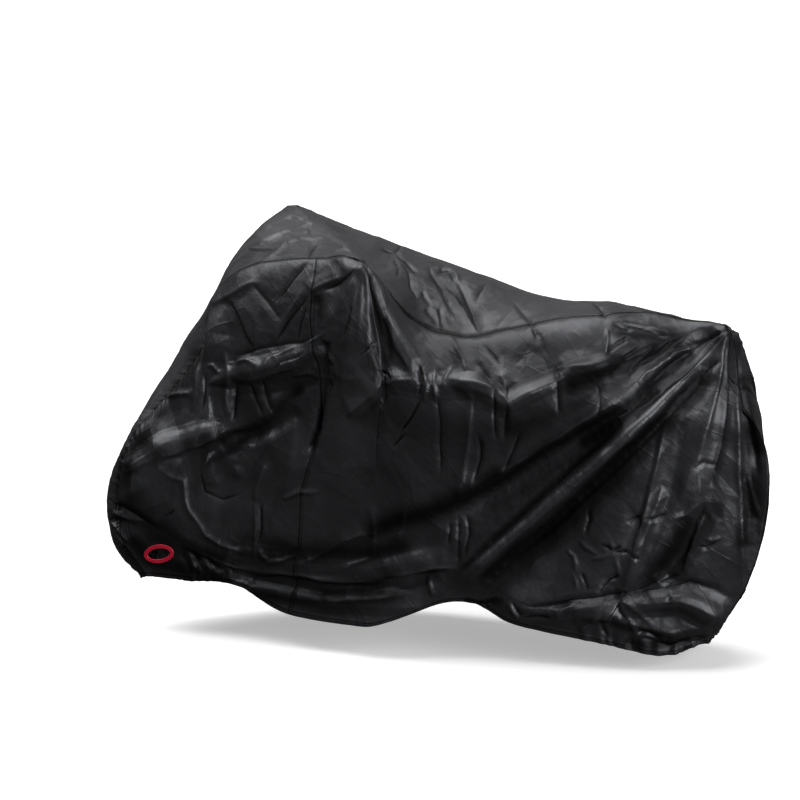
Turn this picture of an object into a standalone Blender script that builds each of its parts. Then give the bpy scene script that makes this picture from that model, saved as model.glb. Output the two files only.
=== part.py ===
"""Bicycle cover: a thin coated cloth cover, in the shape in which it hangs over a parked bicycle.

The bicycle itself isn't part of the model, so the cover is hollow and open below.
Metres, +Z up. The bicycle's front is towards -X and its left side towards -Y.
Its handlebar is turned to the left, so the right grip lies further forward than the left one.
Heights in the tables are above the ground. The model's origin is the point under the top strip
that rests on the saddle, and every piece is moved there at the end.
"""

import math

import bpy
import numpy as np

# ---- Driving dimensions (metres) ----
CLOTH_THICKNESS = 0.0015
SEAM_GAP = 0.0004              # clear gap between two pieces that are sewn together
CELL = 0.052                   # length of the cloth's facets along the top
SIDE_CELLS = 19                # facets down each side panel
STRIP_CELLS = 6                # facets across the top strip
ORIGIN = (0.50, 0.02, 0.938)   # on the saddle, under the top strip, above the ground

EYELET_LENGTH = 0.084          # outer size of the oval lock eyelets
EYELET_HEIGHT = 0.052
EYELET_BAND = 0.011
EYELET_THICKNESS = 0.0036
EYELET_FLAT_RADIUS = 0.075     # the cloth lies flat this far around each eyelet
EYELET_SEGMENTS = 32
EYELET_CUT_REACH = 0.018       # how far its opening is cut to each side of the cloth
EYELET_LEAN = math.radians(12.0)  # the oval's rear end sits higher

CLOTH_COLOUR = (0.012, 0.012, 0.013)
CLOTH_ROUGHNESS = 0.32
EYELET_COLOUR = (0.45, 0.01, 0.04)
EYELET_ROUGHNESS = 0.45

PIECE_NAMES = {
    "strip": "top_strip",
    "left_front": "left_front_panel",
    "left_rear": "left_rear_panel",
    "right_front": "right_front_panel",
    "right_rear": "right_rear_panel",
}

# The folds of each side are laid out in an oblique elevation of that side, turned about Z and
# tilted down, in which its wall, the top strip and the tail all show.
FOLD_TURN = math.radians(20.0)
FOLD_TILT = math.radians(13.0)
FOLD_FACING = (0.05, 0.40)     # folds grow from none to full between these facings of the wall
FOLD_END = 0.15                # share of a fold's path over which it dies away at its end
SHARP_CREST = 1.6              # power of a sharp fold's section

# ---- Sections of the top strip, from the front hem over the bars and saddle to the rear hem ----
# Columns: name, left seam (x, y, z), crown (x, y, z), right seam (x, y, z)
STRIP_SECTIONS = (
    ("front_hem", (-0.735, -0.235, 0.155), (-0.775, -0.168, 0.125), (-0.745, -0.090, 0.140)),
    ("nose_low", (-0.795, -0.250, 0.250), (-0.832, -0.212, 0.225), (-0.805, -0.135, 0.240)),
    ("nose", (-0.810, -0.245, 0.360), (-0.850, -0.222, 0.360), (-0.825, -0.150, 0.360)),
    ("nose_high", (-0.779, -0.235, 0.509), (-0.803, -0.200, 0.513), (-0.790, -0.130, 0.500)),
    ("front_low", (-0.731, -0.210, 0.589), (-0.775, -0.160, 0.580), (-0.765, -0.090, 0.575)),
    ("front_mid", (-0.658, -0.180, 0.683), (-0.739, -0.090, 0.668), (-0.725, -0.020, 0.665)),
    ("front_high", (-0.584, -0.150, 0.804), (-0.688, -0.020, 0.779), (-0.680, 0.070, 0.770)),
    ("front_top", (-0.587, -0.120, 0.893), (-0.655, 0.050, 0.853), (-0.650, 0.130, 0.845)),
    ("corner", (-0.536, -0.120, 0.959), (-0.605, 0.100, 0.947), (-0.610, 0.190, 0.930)),
    ("bar_front", (-0.369, -0.170, 1.034), (-0.460, 0.020, 1.045), (-0.555, 0.235, 1.020)),
    ("side_seam", (-0.265, -0.200, 1.053), (-0.390, 0.020, 1.065), (-0.530, 0.250, 1.060)),
    ("grips", (-0.117, -0.260, 1.064), (-0.310, 0.000, 1.072), (-0.503, 0.262, 1.075)),
    ("behind_bar", (-0.041, -0.250, 0.970), (-0.200, 0.020, 1.034), (-0.420, 0.262, 1.055)),
    ("slope", (0.032, -0.235, 0.907), (-0.100, 0.050, 1.005), (-0.280, 0.250, 1.012)),
    ("dip", (0.150, -0.220, 0.875), (0.020, 0.080, 0.983), (-0.100, 0.255, 0.930)),
    ("rise", (0.275, -0.190, 0.900), (0.180, 0.070, 0.942), (0.100, 0.230, 0.900)),
    ("saddle_front", (0.401, -0.150, 0.929), (0.345, 0.040, 0.929), (0.300, 0.190, 0.890)),
    ("saddle", (0.523, -0.100, 0.938), (0.490, 0.020, 0.940), (0.470, 0.140, 0.905)),
    ("behind_saddle", (0.601, -0.020, 0.935), (0.600, 0.050, 0.914), (0.600, 0.120, 0.893)),
    ("rack", (0.705, 0.010, 0.915), (0.700, 0.060, 0.900), (0.690, 0.110, 0.880)),
    ("rear_corner", (0.812, 0.000, 0.909), (0.797, 0.045, 0.898), (0.780, 0.090, 0.880)),
    ("tail_high", (0.878, -0.060, 0.765), (0.872, 0.020, 0.770), (0.838, 0.100, 0.760)),
    ("tail_mid", (0.916, -0.075, 0.677), (0.900, 0.020, 0.680), (0.865, 0.110, 0.670)),
    ("tail_wide", (0.944, -0.050, 0.590), (0.918, 0.020, 0.590), (0.878, 0.110, 0.590)),
    ("tail_full", (0.945, -0.040, 0.460), (0.924, 0.030, 0.460), (0.890, 0.110, 0.460)),
    ("tail_low", (0.925, -0.045, 0.330), (0.900, 0.030, 0.330), (0.880, 0.105, 0.330)),
    ("tail_foot", (0.880, -0.060, 0.200), (0.850, 0.030, 0.200), (0.835, 0.105, 0.200)),
    ("rear_hem", (0.790, -0.080, 0.060), (0.775, 0.020, 0.055), (0.765, 0.100, 0.060)),
)

# ---- Hems below those sections, and how far each wall stands out below its seam ----
# Columns: section, left hem (x, y, z), left swell, right hem (x, y, z), right swell
HEM_SECTIONS = (
    ("nose", (-0.735, -0.235, 0.155), 0.000, (-0.745, -0.090, 0.140), 0.000),
    ("front_mid", (-0.620, -0.230, 0.150), 0.035, (-0.620, 0.050, 0.125), 0.020),
    ("corner", (-0.470, -0.245, 0.150), 0.060, (-0.480, 0.170, 0.110), 0.040),
    ("side_seam", (-0.290, -0.280, 0.090), 0.045, (-0.300, 0.235, 0.100), 0.040),
    ("grips", (-0.150, -0.300, 0.085), 0.040, (-0.190, 0.255, 0.095), 0.040),
    ("slope", (-0.020, -0.310, 0.105), 0.060, (-0.060, 0.265, 0.100), 0.045),
    ("dip", (0.119, -0.280, 0.160), 0.075, (0.080, 0.260, 0.110), 0.055),
    ("saddle_front", (0.330, -0.240, 0.105), 0.080, (0.300, 0.240, 0.100), 0.070),
    ("behind_saddle", (0.564, -0.220, 0.068), 0.070, (0.560, 0.215, 0.075), 0.070),
    ("rack", (0.700, -0.170, 0.040), 0.035, (0.690, 0.170, 0.055), 0.040),
    ("rear_corner", (0.790, -0.080, 0.060), 0.000, (0.765, 0.100, 0.060), 0.000),
)

# ---- Main folds of the left side, in its oblique elevation ----
# Columns: name, path of (along, up), half-width at its start, half-width at its end,
# height at its end (below 0 for a trough; it grows with the width), crest
LEFT_FOLDS = (
    ("bar_valley", ((-0.33, 1.09), (-0.22, 1.04), (-0.10, 0.99)), 0.050, 0.070, -0.024, "round"),
    ("rear_trough", ((0.73, 0.79), (0.58, 0.68), (0.40, 0.54), (0.19, 0.40), (-0.02, 0.26)),
     0.055, 0.095, -0.034, "round"),
    ("rear_tube", ((0.76, 0.80), (0.58, 0.61), (0.40, 0.45), (0.19, 0.24), (0.00, 0.10)),
     0.045, 0.065, 0.032, "round"),
    ("rear_undercut", ((0.71, 0.70), (0.54, 0.51), (0.37, 0.35), (0.17, 0.15)),
     0.050, 0.060, -0.014, "round"),
    ("shoulder", ((0.48, 0.63), (0.33, 0.57), (0.18, 0.48)), 0.040, 0.050, 0.014, "round"),
    ("tail_ridge", ((0.75, 0.77), (0.70, 0.55), (0.66, 0.31)), 0.030, 0.060, 0.022, "round"),
    ("tail_trough", ((0.79, 0.73), (0.83, 0.49), (0.83, 0.25)), 0.030, 0.050, -0.016, "round"),
    ("pouch_hollow", ((0.71, 0.32), (0.66, 0.23), (0.59, 0.14)), 0.030, 0.045, -0.034, "round"),
    ("pouch", ((0.51, 0.09), (0.64, 0.10), (0.77, 0.05)), 0.040, 0.050, 0.034, "round"),
    ("pouch_peak", ((0.58, 0.36), (0.53, 0.23), (0.48, 0.10)), 0.030, 0.035, 0.018, "sharp"),
    ("grip_ridge", ((-0.19, 0.97), (-0.12, 0.82), (-0.04, 0.68)), 0.030, 0.045, 0.026, "round"),
    ("grip_gap", ((-0.18, 0.93), (-0.15, 0.77), (-0.14, 0.60)), 0.025, 0.035, -0.024, "sharp"),
    ("grip_fall", ((-0.22, 0.97), (-0.24, 0.81), (-0.22, 0.63)), 0.030, 0.050, 0.020, "round"),
    ("ledge_front", ((-0.12, 0.68), (0.00, 0.66), (0.09, 0.67)), 0.040, 0.040, 0.016, "round"),
    ("ledge_rear", ((0.09, 0.66), (0.19, 0.61), (0.31, 0.67), (0.50, 0.73)),
     0.040, 0.040, 0.020, "round"),
    ("mid_fall", ((0.08, 0.65), (0.08, 0.49), (0.05, 0.36)), 0.025, 0.030, 0.010, "sharp"),
    ("bar_hollow", ((-0.55, 0.88), (-0.57, 0.77)), 0.040, 0.050, -0.030, "round"),
    ("front_shelf", ((-0.55, 0.73), (-0.46, 0.76), (-0.36, 0.78), (-0.29, 0.80)),
     0.030, 0.035, 0.024, "round"),
    ("front_tuck", ((-0.52, 0.66), (-0.40, 0.66), (-0.31, 0.68)), 0.035, 0.035, -0.016, "round"),
    ("seam_tuck", ((-0.30, 0.77), (-0.30, 0.68), (-0.32, 0.55), (-0.35, 0.45)),
     0.025, 0.025, -0.018, "sharp"),
    ("wheel_shelf", ((-0.81, 0.45), (-0.71, 0.51), (-0.56, 0.55)), 0.035, 0.040, 0.022, "round"),
    ("wheel_tuck", ((-0.57, 0.50), (-0.44, 0.55), (-0.36, 0.60)), 0.030, 0.035, -0.018, "round"),
    ("elastic_tuck", ((-0.84, 0.31), (-0.68, 0.23), (-0.49, 0.16)), 0.030, 0.030, -0.018, "round"),
    ("low_step", ((-0.53, 0.22), (-0.36, 0.19), (-0.17, 0.18), (0.03, 0.22)),
     0.035, 0.035, 0.020, "round"),
    ("low_tuck", ((-0.49, 0.15), (-0.31, 0.12), (-0.14, 0.13), (0.01, 0.16)),
     0.030, 0.030, -0.024, "round"),
)

# The right side's folds, in the same columns, in its own mirrored oblique elevation
RIGHT_FOLDS = (
    ("rear_trough", ((0.72, 0.78), (0.50, 0.60), (0.25, 0.42), (0.05, 0.30)),
     0.045, 0.090, -0.032, "round"),
    ("rear_tube", ((0.75, 0.79), (0.52, 0.53), (0.30, 0.32), (0.12, 0.14)),
     0.040, 0.060, 0.028, "round"),
    ("tail_ridge", ((0.76, 0.76), (0.72, 0.52), (0.70, 0.25)), 0.030, 0.060, 0.020, "round"),
    ("pouch", ((0.45, 0.10), (0.60, 0.11), (0.75, 0.07)), 0.040, 0.050, 0.026, "round"),
    ("grip_ridge", ((-0.55, 0.98), (-0.46, 0.80), (-0.36, 0.62)), 0.030, 0.050, 0.028, "round"),
    ("grip_gap", ((-0.56, 0.95), (-0.54, 0.75), (-0.53, 0.50)), 0.025, 0.040, -0.020, "round"),
    ("grip_fall", ((-0.53, 0.97), (-0.40, 0.86), (-0.22, 0.74)), 0.030, 0.050, 0.022, "round"),
    ("ledge", ((-0.30, 0.70), (-0.10, 0.66), (0.12, 0.68), (0.40, 0.74)),
     0.040, 0.040, 0.016, "round"),
    ("wall_ridge", ((-0.20, 0.62), (-0.18, 0.40), (-0.20, 0.20)), 0.030, 0.040, 0.014, "round"),
    ("wall_trough", ((0.05, 0.62), (0.03, 0.45), (0.00, 0.30)), 0.030, 0.035, -0.014, "round"),
    ("wheel_shelf", ((-0.70, 0.50), (-0.55, 0.42), (-0.42, 0.30)), 0.035, 0.050, 0.020, "round"),
    ("front_trough", ((-0.60, 0.85), (-0.62, 0.60), (-0.66, 0.38)), 0.030, 0.050, -0.018, "round"),
    ("low_tuck", ((-0.45, 0.14), (-0.20, 0.12), (0.05, 0.13)), 0.030, 0.030, -0.020, "round"),
)

# ---- Where the lock eyelets sit: (x, z) on each side ----
EYELETS = (
    ("left_eyelet", "left", -0.690, 0.225),
    ("right_eyelet", "right", -0.690, 0.225),
)


# ======================================================================= curves and base surface

def smooth_curve(knots, points, at):
    """Points of the smooth curve through the given points, at the given places along it."""
    knots = np.asarray(knots, float)
    points = np.asarray(points, float)
    slopes = np.diff(points, axis=0) / np.diff(knots)[:, None]
    tangents = np.empty_like(points)
    tangents[0] = slopes[0]
    tangents[-1] = slopes[-1]
    before = np.diff(knots)[:-1, None]
    after = np.diff(knots)[1:, None]
    tangents[1:-1] = (slopes[:-1] * after + slopes[1:] * before) / (before + after)
    span = np.clip(np.searchsorted(knots, at, side="right") - 1, 0, len(knots) - 2)
    length = (knots[span + 1] - knots[span])[:, None]
    f = (at - knots[span])[:, None] / length
    start = points[span]
    end = points[span + 1]
    return ((2 * f**3 - 3 * f**2 + 1) * start + (f**3 - 2 * f**2 + f) * length * tangents[span]
            + (3 * f**2 - 2 * f**3) * end + (f**3 - f**2) * length * tangents[span + 1])


def section_places():
    """Where each strip section lies along the strip, as the length of its crown and left seam."""
    left = np.array([row[1] for row in STRIP_SECTIONS])
    crown = np.array([row[2] for row in STRIP_SECTIONS])
    steps = (np.linalg.norm(np.diff(left, axis=0), axis=1)
             + np.linalg.norm(np.diff(crown, axis=0), axis=1)) / 2.0
    return np.concatenate(([0.0], np.cumsum(steps)))


def strip_samples(names, places):
    """Places along the strip for each row of facets, and the row of the nose, seam and corner."""
    nose = names.index("nose")
    corner = names.index("rear_corner")
    front = np.linspace(places[0], places[nose], SIDE_CELLS + 1)
    rear = np.linspace(places[corner], places[-1], SIDE_CELLS + 1)
    top = [places[nose]]
    seam_row = 0
    for index in range(nose, corner):
        cells = max(1, round((places[index + 1] - places[index]) / CELL))
        top.extend(np.linspace(places[index], places[index + 1], cells + 1)[1:])
        if names[index + 1] == "side_seam":
            seam_row = SIDE_CELLS + len(top) - 1
    rows = np.concatenate((front[:-1], top, rear[1:]))
    return rows, SIDE_CELLS, seam_row, SIDE_CELLS + len(top) - 1


class Cover:
    """The cloth's middle surface as one welded grid, with the pieces that it is cut into."""

    def __init__(self):
        self.names = [row[0] for row in STRIP_SECTIONS]
        self.places = section_places()
        self.rows, self.nose, self.seam, self.corner = strip_samples(self.names, self.places)
        self.points = []
        self.faces = {}
        self.strip = self.add_strip()
        self.left = self.add_side("left", 1, 0, 1)
        self.right = self.add_side("right", 3, STRIP_CELLS, 3)
        self.points = np.array(self.points)

    def add_strip(self):
        """The top strip: an arc through left seam, crown and right seam at every row."""
        left, crown, right = (
            smooth_curve(self.places, [row[column] for row in STRIP_SECTIONS], self.rows)
            for column in (1, 2, 3))
        index = np.zeros((len(self.rows), STRIP_CELLS + 1), int)
        for column in range(STRIP_CELLS + 1):
            v = column / STRIP_CELLS
            arc = left * (1 - v) * (1 - 2 * v) + crown * 4 * v * (1 - v) + right * v * (2 * v - 1)
            index[:, column] = len(self.points) + np.arange(len(arc))
            self.points.extend(arc)
        self.faces["strip"] = grid_faces(index, False)
        return index

    def add_side(self, name, hem_column, strip_edge, seam_column):
        """A side panel: a patch between its seam and its hem, swelling out below the seam."""
        top_rows = np.arange(self.nose, self.corner + 1)
        seam = np.array([self.points[i] for i in self.strip[top_rows, strip_edge]])
        front = np.array([self.points[i] for i in self.strip[self.nose::-1, strip_edge]])
        rear = np.array([self.points[i] for i in self.strip[self.corner:, strip_edge]])
        knots = [self.places[self.names.index(row[0])] for row in HEM_SECTIONS]
        hem = smooth_curve(knots, [row[hem_column] for row in HEM_SECTIONS], self.rows[top_rows])
        swell = smooth_curve(knots, [(row[hem_column + 1],) for row in HEM_SECTIONS],
                             self.rows[top_rows])[:, 0]
        outward = -1.0 if name == "left" else 1.0
        index = np.zeros((len(top_rows), SIDE_CELLS + 1), int)
        for row in range(len(top_rows)):
            s = row / (len(top_rows) - 1)
            for column in range(SIDE_CELLS + 1):
                t = column / SIDE_CELLS
                if column == 0:
                    index[row, column] = self.strip[top_rows[row], strip_edge]
                    continue
                if row == 0:
                    index[row, column] = self.strip[self.nose - column, strip_edge]
                    continue
                if row == len(top_rows) - 1:
                    index[row, column] = self.strip[self.corner + column, strip_edge]
                    continue
                corners = ((1 - s) * (1 - t) * seam[0] + s * (1 - t) * seam[-1]
                           + (1 - s) * t * hem[0] + s * t * hem[-1])
                point = ((1 - t) * seam[row] + t * hem[row] + (1 - s) * front[column]
                         + s * rear[column] - corners)
                point[1] += outward * swell[row] * swell_profile(t)
                index[row, column] = len(self.points)
                self.points.append(point)
        split = self.seam - self.nose
        flip = name == "left"
        self.faces[name + "_front"] = grid_faces(index[:split + 1], flip)
        self.faces[name + "_rear"] = grid_faces(index[split:], flip)
        return index


def swell_profile(t):
    """How the swell of a wall grows below its seam (t = 0) and dies away to the hem (t = 1)."""
    return math.sin(math.pi * t**0.45)


def grid_faces(index, flip):
    """Quads of a grid of point numbers."""
    quads = np.stack((index[:-1, :-1], index[1:, :-1], index[1:, 1:], index[:-1, 1:]), axis=-1)
    quads = quads.reshape(-1, 4)
    return quads[:, ::-1] if flip else quads


# ======================================================================= normals and folds

def vertex_normals(points, faces):
    """Outward normals of the welded grid, each face weighted by its area."""
    face_normals = np.cross(points[faces[:, 2]] - points[faces[:, 0]],
                            points[faces[:, 3]] - points[faces[:, 1]])
    normals = np.zeros_like(points)
    for corner in range(4):
        np.add.at(normals, faces[:, corner], face_normals)
    return normals / np.linalg.norm(normals, axis=1)[:, None]


def smooth_step(value, low, high):
    """0 below low, 1 above high and a smooth ramp between."""
    f = np.clip((value - low) / (high - low), 0.0, 1.0)
    return f * f * (3.0 - 2.0 * f)


def oblique(vectors, side):
    """(along, up, towards) of vectors in a side's oblique elevation."""
    turn_sin = math.sin(FOLD_TURN)
    turn_cos = math.cos(FOLD_TURN)
    tilt_sin = math.sin(FOLD_TILT)
    tilt_cos = math.cos(FOLD_TILT)
    x = vectors[:, 0]
    y = vectors[:, 1] if side == "left" else -vectors[:, 1]
    z = vectors[:, 2]
    away = y * turn_cos - x * turn_sin
    return x * turn_cos + y * turn_sin, away * tilt_sin + z * tilt_cos, z * tilt_sin - away * tilt_cos


def fold_heights(along, up, folds):
    """Height of all the folds of one side at each point of its oblique elevation."""
    here = np.stack((along, up), axis=1)
    total = np.zeros(len(here))
    for _name, path, width_start, width_end, height, crest in folds:
        path = np.array(path)
        places = np.concatenate(([0.0], np.cumsum(np.linalg.norm(np.diff(path, axis=0), axis=1))))
        nearest = np.full(len(here), 1e9)
        reached = np.zeros(len(here))
        for start, end, place, after in zip(path[:-1], path[1:], places[:-1], places[1:]):
            run = end - start
            f = np.clip((here - start) @ run / (run @ run), 0.0, 1.0)
            distance = np.linalg.norm(here - start - f[:, None] * run, axis=1)
            closer = distance < nearest
            nearest = np.where(closer, distance, nearest)
            reached = np.where(closer, place + f * (after - place), reached)
        reached /= places[-1]
        width = width_start + (width_end - width_start) * reached
        rest = np.clip(1.0 - nearest / width, 0.0, 1.0)
        profile = rest**SHARP_CREST if crest == "sharp" else rest * rest * (3.0 - 2.0 * rest)
        fade = smooth_step(1.0 - reached, 0.0, FOLD_END)
        total += height * width / width_end * profile * fade
    return total


def folded(points, normals):
    """The middle surface with the folds of both sides, which fade where the cloth turns away."""
    out = points.copy()
    for side, folds in (("left", LEFT_FOLDS), ("right", RIGHT_FOLDS)):
        along, up, _towards = oblique(points, side)
        _along, _up, facing = oblique(normals, side)
        height = fold_heights(along, up, folds) * smooth_step(facing, *FOLD_FACING)
        out += normals * height[:, None]
    return out


def split_quads(points, faces, centres):
    """Two triangles for each quad, on the diagonal that lies nearer to the folded surface."""
    corners = points[faces]
    first = np.linalg.norm((corners[:, 0] + corners[:, 2]) / 2 - centres, axis=1)
    second = np.linalg.norm((corners[:, 1] + corners[:, 3]) / 2 - centres, axis=1)
    order = np.where((first <= second)[:, None], [[0, 1, 2, 0, 2, 3]], [[0, 1, 3, 1, 2, 3]])
    return np.take_along_axis(faces, order, axis=1).reshape(-1, 3)


# ======================================================================= eyelets

class EyeletSeat:
    """The flat place of one eyelet: its centre, its outward normal and its long axis."""

    def __init__(self, points, normals, side, x, z):
        outward = -1.0 if side == "left" else 1.0
        offset = np.stack((points[:, 0] - x, points[:, 2] - z), axis=1)
        weight = np.exp(-(np.linalg.norm(offset, axis=1) / EYELET_FLAT_RADIUS * 1.4)**2)
        weight = weight * (normals[:, 1] * outward > 0.1)
        self.centre = (points * weight[:, None]).sum(axis=0) / weight.sum()
        normal = (normals * weight[:, None]).sum(axis=0)
        self.normal = normal / np.linalg.norm(normal)
        level = np.cross((0.0, 0.0, 1.0), self.normal)
        level = level / np.linalg.norm(level)
        rise = np.cross(self.normal, level)
        self.long_axis = level * math.cos(EYELET_LEAN) - outward * rise * math.sin(EYELET_LEAN)
        self.short_axis = np.cross(self.normal, self.long_axis)

    def nearness(self, points):
        """1 on the flat place, fading to 0 around it."""
        distance = np.linalg.norm(points - self.centre, axis=1)
        return 1.0 - smooth_step(distance, EYELET_FLAT_RADIUS, 2.0 * EYELET_FLAT_RADIUS)

    def flatten(self, points):
        """The points with those around the eyelet laid onto its plane."""
        height = (points - self.centre) @ self.normal
        return points - (height * self.nearness(points))[:, None] * self.normal

    def place(self, along, across, height):
        """A point given in the eyelet's own axes."""
        return (self.centre + along * self.long_axis + across * self.short_axis
                + height * self.normal)


def oval_point(angle, inset):
    """A point of the eyelet's oval, moved in from the outer edge by inset."""
    half_length = EYELET_LENGTH / 2
    half_height = EYELET_HEIGHT / 2
    out_x = math.cos(angle) * half_height
    out_y = math.sin(angle) * half_length
    size = math.hypot(out_x, out_y)
    return (half_length * math.cos(angle) - inset * out_x / size,
            half_height * math.sin(angle) - inset * out_y / size)


def eyelet_mesh(seat):
    """The oval band: a rounded rectangular section swept round the oval."""
    half = EYELET_THICKNESS / 2
    round_off = EYELET_THICKNESS / 4
    section = ((0.0, -half + round_off), (0.0, half - round_off), (round_off, half),
               (EYELET_BAND - round_off, half), (EYELET_BAND, half - round_off),
               (EYELET_BAND, -half + round_off), (EYELET_BAND - round_off, -half),
               (round_off, -half))
    points = []
    for step in range(EYELET_SEGMENTS):
        angle = 2.0 * math.pi * step / EYELET_SEGMENTS
        for inset, height in section:
            along, across = oval_point(angle, inset)
            points.append(seat.place(along, across, height))
    faces = []
    count = len(section)
    for step in range(EYELET_SEGMENTS):
        here = step * count
        after = (step + 1) % EYELET_SEGMENTS * count
        for corner in range(count):
            further = (corner + 1) % count
            faces.append((here + corner, after + corner, after + further, here + further))
    return points, faces


def cutter_mesh(seat):
    """An oval prism that clears the eyelet by the seam gap."""
    points = []
    for height in (-EYELET_CUT_REACH, EYELET_CUT_REACH):
        for step in range(EYELET_SEGMENTS):
            along, across = oval_point(2.0 * math.pi * step / EYELET_SEGMENTS, -SEAM_GAP)
            points.append(seat.place(along, across, height))
    count = EYELET_SEGMENTS
    faces = [tuple(reversed(range(count))), tuple(range(count, 2 * count))]
    for step in range(count):
        after = (step + 1) % count
        faces.append((step, after, after + count, step + count))
    return points, faces


# ======================================================================= closed pieces

def seam_shift(points, normals, faces, shared):
    """How each point moves so that the piece keeps half the seam gap to what it is sewn to."""
    corners = faces.tolist()
    edges = dict.fromkeys(
        edge for face in corners for edge in zip(face, face[1:] + face[:1]))
    pulls = {}
    for start, end in edges:
        if (end, start) in edges or not (start in shared and end in shared):
            continue
        run = points[end] - points[start]
        inward = np.cross((normals[start] + normals[end]) / 2.0, run / np.linalg.norm(run))
        for corner in (start, end):
            pulls.setdefault(corner, []).append(inward / np.linalg.norm(inward))
    shift = np.zeros_like(points)
    for corner, directions in pulls.items():
        if len(directions) == 1:
            shift[corner] = directions[0] * SEAM_GAP / 2
        else:
            first, second = directions[:2]
            shift[corner] = (first + second) / (1.0 + first @ second) * SEAM_GAP / 2
    return shift


def closed_sheet(points, normals, faces, shift):
    """A closed sheet of cloth thickness, inside and outside of the piece's middle surface."""
    used = np.unique(faces)
    number = {int(point): place for place, point in enumerate(used)}
    middle = points[used] + shift[used]
    half = normals[used] * CLOTH_THICKNESS / 2
    count = len(used)
    outer = [tuple(number[int(corner)] for corner in face) for face in faces]
    sheet = outer + [tuple(corner + count for corner in reversed(face)) for face in outer]
    edges = {(start, end) for face in outer for start, end in zip(face, face[1:] + face[:1])}
    for start, end in sorted(edges):
        if (end, start) not in edges:
            sheet.append((end, start, start + count, end + count))
    return np.concatenate((middle + half, middle - half)), sheet


# ======================================================================= Blender objects

def plain_material(name, colour, roughness):
    material = bpy.data.materials.new(name)
    material.use_nodes = True
    shader = material.node_tree.nodes["Principled BSDF"]
    shader.inputs["Base Color"].default_value = (*colour, 1.0)
    shader.inputs["Roughness"].default_value = roughness
    shader.inputs["Metallic"].default_value = 0.0
    return material


def add_object(name, points, faces, material, location=(0.0, 0.0, 0.0)):
    """A named object from points given above the ground, moved to the model's origin."""
    place = np.asarray(location, float)
    moved = np.asarray(points) - np.array(ORIGIN) - place
    mesh = bpy.data.meshes.new(name)
    mesh.from_pydata([tuple(point) for point in moved], [], faces)
    mesh.validate()
    mesh.update()
    mesh.materials.append(material)
    mesh.shade_smooth()
    obj = bpy.data.objects.new(name, mesh)
    obj.location = place
    bpy.context.scene.collection.objects.link(obj)
    return obj


def cut_opening(panel, cutter):
    """Cuts an eyelet's oval out of a panel, and hides the cutter."""
    cutter.hide_render = True
    cutter.display_type = "WIRE"
    opening = panel.modifiers.new("eyelet_opening", "BOOLEAN")
    opening.operation = "DIFFERENCE"
    opening.object = cutter


def hung(points, normals, seats):
    """The folded middle surface, flat around the eyelets."""
    out = folded(points, normals)
    for seat in seats.values():
        out = seat.flatten(out)
    return out


def build():
    for obj in list(bpy.data.objects):
        bpy.data.objects.remove(obj, do_unlink=True)
    cover = Cover()
    every_face = np.concatenate(list(cover.faces.values()))
    normals = vertex_normals(cover.points, every_face)
    seats = {name: EyeletSeat(cover.points, normals, side, x, z) for name, side, x, z in EYELETS}
    points = hung(cover.points, normals, seats)
    triangles = {}
    for piece, faces in cover.faces.items():
        centres = hung(cover.points[faces].mean(axis=1), normals[faces].mean(axis=1), seats)
        triangles[piece] = split_quads(points, faces, centres)
    normals = vertex_normals(points, every_face)

    uses = np.zeros(len(points), int)
    for faces in cover.faces.values():
        uses[np.unique(faces)] += 1
    shared = set(np.nonzero(uses > 1)[0].tolist())

    panels = {}
    for piece, faces in triangles.items():
        shift = seam_shift(points, normals, faces, shared)
        sheet_points, sheet_faces = closed_sheet(points, normals, faces, shift)
        name = PIECE_NAMES[piece]
        material = plain_material(name + "_cloth", CLOTH_COLOUR, CLOTH_ROUGHNESS)
        panels[name] = add_object(name, sheet_points, sheet_faces, material)

    for name, seat in seats.items():
        material = plain_material(name + "_binding", EYELET_COLOUR, EYELET_ROUGHNESS)
        centre = seat.centre - np.array(ORIGIN)
        add_object(name, *eyelet_mesh(seat), material, centre)
        cutter = add_object(name + "_cutter", *cutter_mesh(seat), material)
        cut_opening(panels[name.replace("eyelet", "front_panel")], cutter)


build()
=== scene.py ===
"""Looks of the bicycle cover: thin black coated nylon, hanging over a bicycle that is left out."""
import itertools
import math

import bpy
import numpy as np
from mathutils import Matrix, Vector, geometry


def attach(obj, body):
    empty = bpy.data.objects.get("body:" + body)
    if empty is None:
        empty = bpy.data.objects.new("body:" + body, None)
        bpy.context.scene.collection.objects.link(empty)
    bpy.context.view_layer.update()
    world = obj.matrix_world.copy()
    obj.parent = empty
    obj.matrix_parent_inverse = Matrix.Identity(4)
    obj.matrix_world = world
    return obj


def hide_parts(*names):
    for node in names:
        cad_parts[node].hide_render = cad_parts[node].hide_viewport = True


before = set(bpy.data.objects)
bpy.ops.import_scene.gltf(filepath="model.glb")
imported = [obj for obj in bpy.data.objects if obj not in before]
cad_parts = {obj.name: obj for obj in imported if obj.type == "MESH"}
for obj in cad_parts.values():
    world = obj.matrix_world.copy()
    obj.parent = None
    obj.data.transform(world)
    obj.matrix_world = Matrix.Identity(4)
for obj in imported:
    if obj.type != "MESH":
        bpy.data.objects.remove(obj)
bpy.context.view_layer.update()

# ======================================================================= driving sizes (metres)
# Heights in the tables are above the ground. ORIGIN is the frame's origin, on the saddle.
ORIGIN = np.array((0.50, 0.02, 0.938))
CENTIMETRES, MILLIMETRES = 100.0, 1000.0     # in a metre, for the tables in those units
CELL = 0.0037                  # length of the cloth's cells along the top
SIDE_CELLS = 240               # cells down each side panel
STRIP_CELLS = 90               # cells across the top strip
SWELL_PEAK = 0.45              # power of the way down: below 1, the swell is fullest high up
FAR = 9.0                      # a distance from a seam or hem that nothing is near
NOISE_GAIN = 1.6               # brings gradient noise up to about -1 to 1

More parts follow.
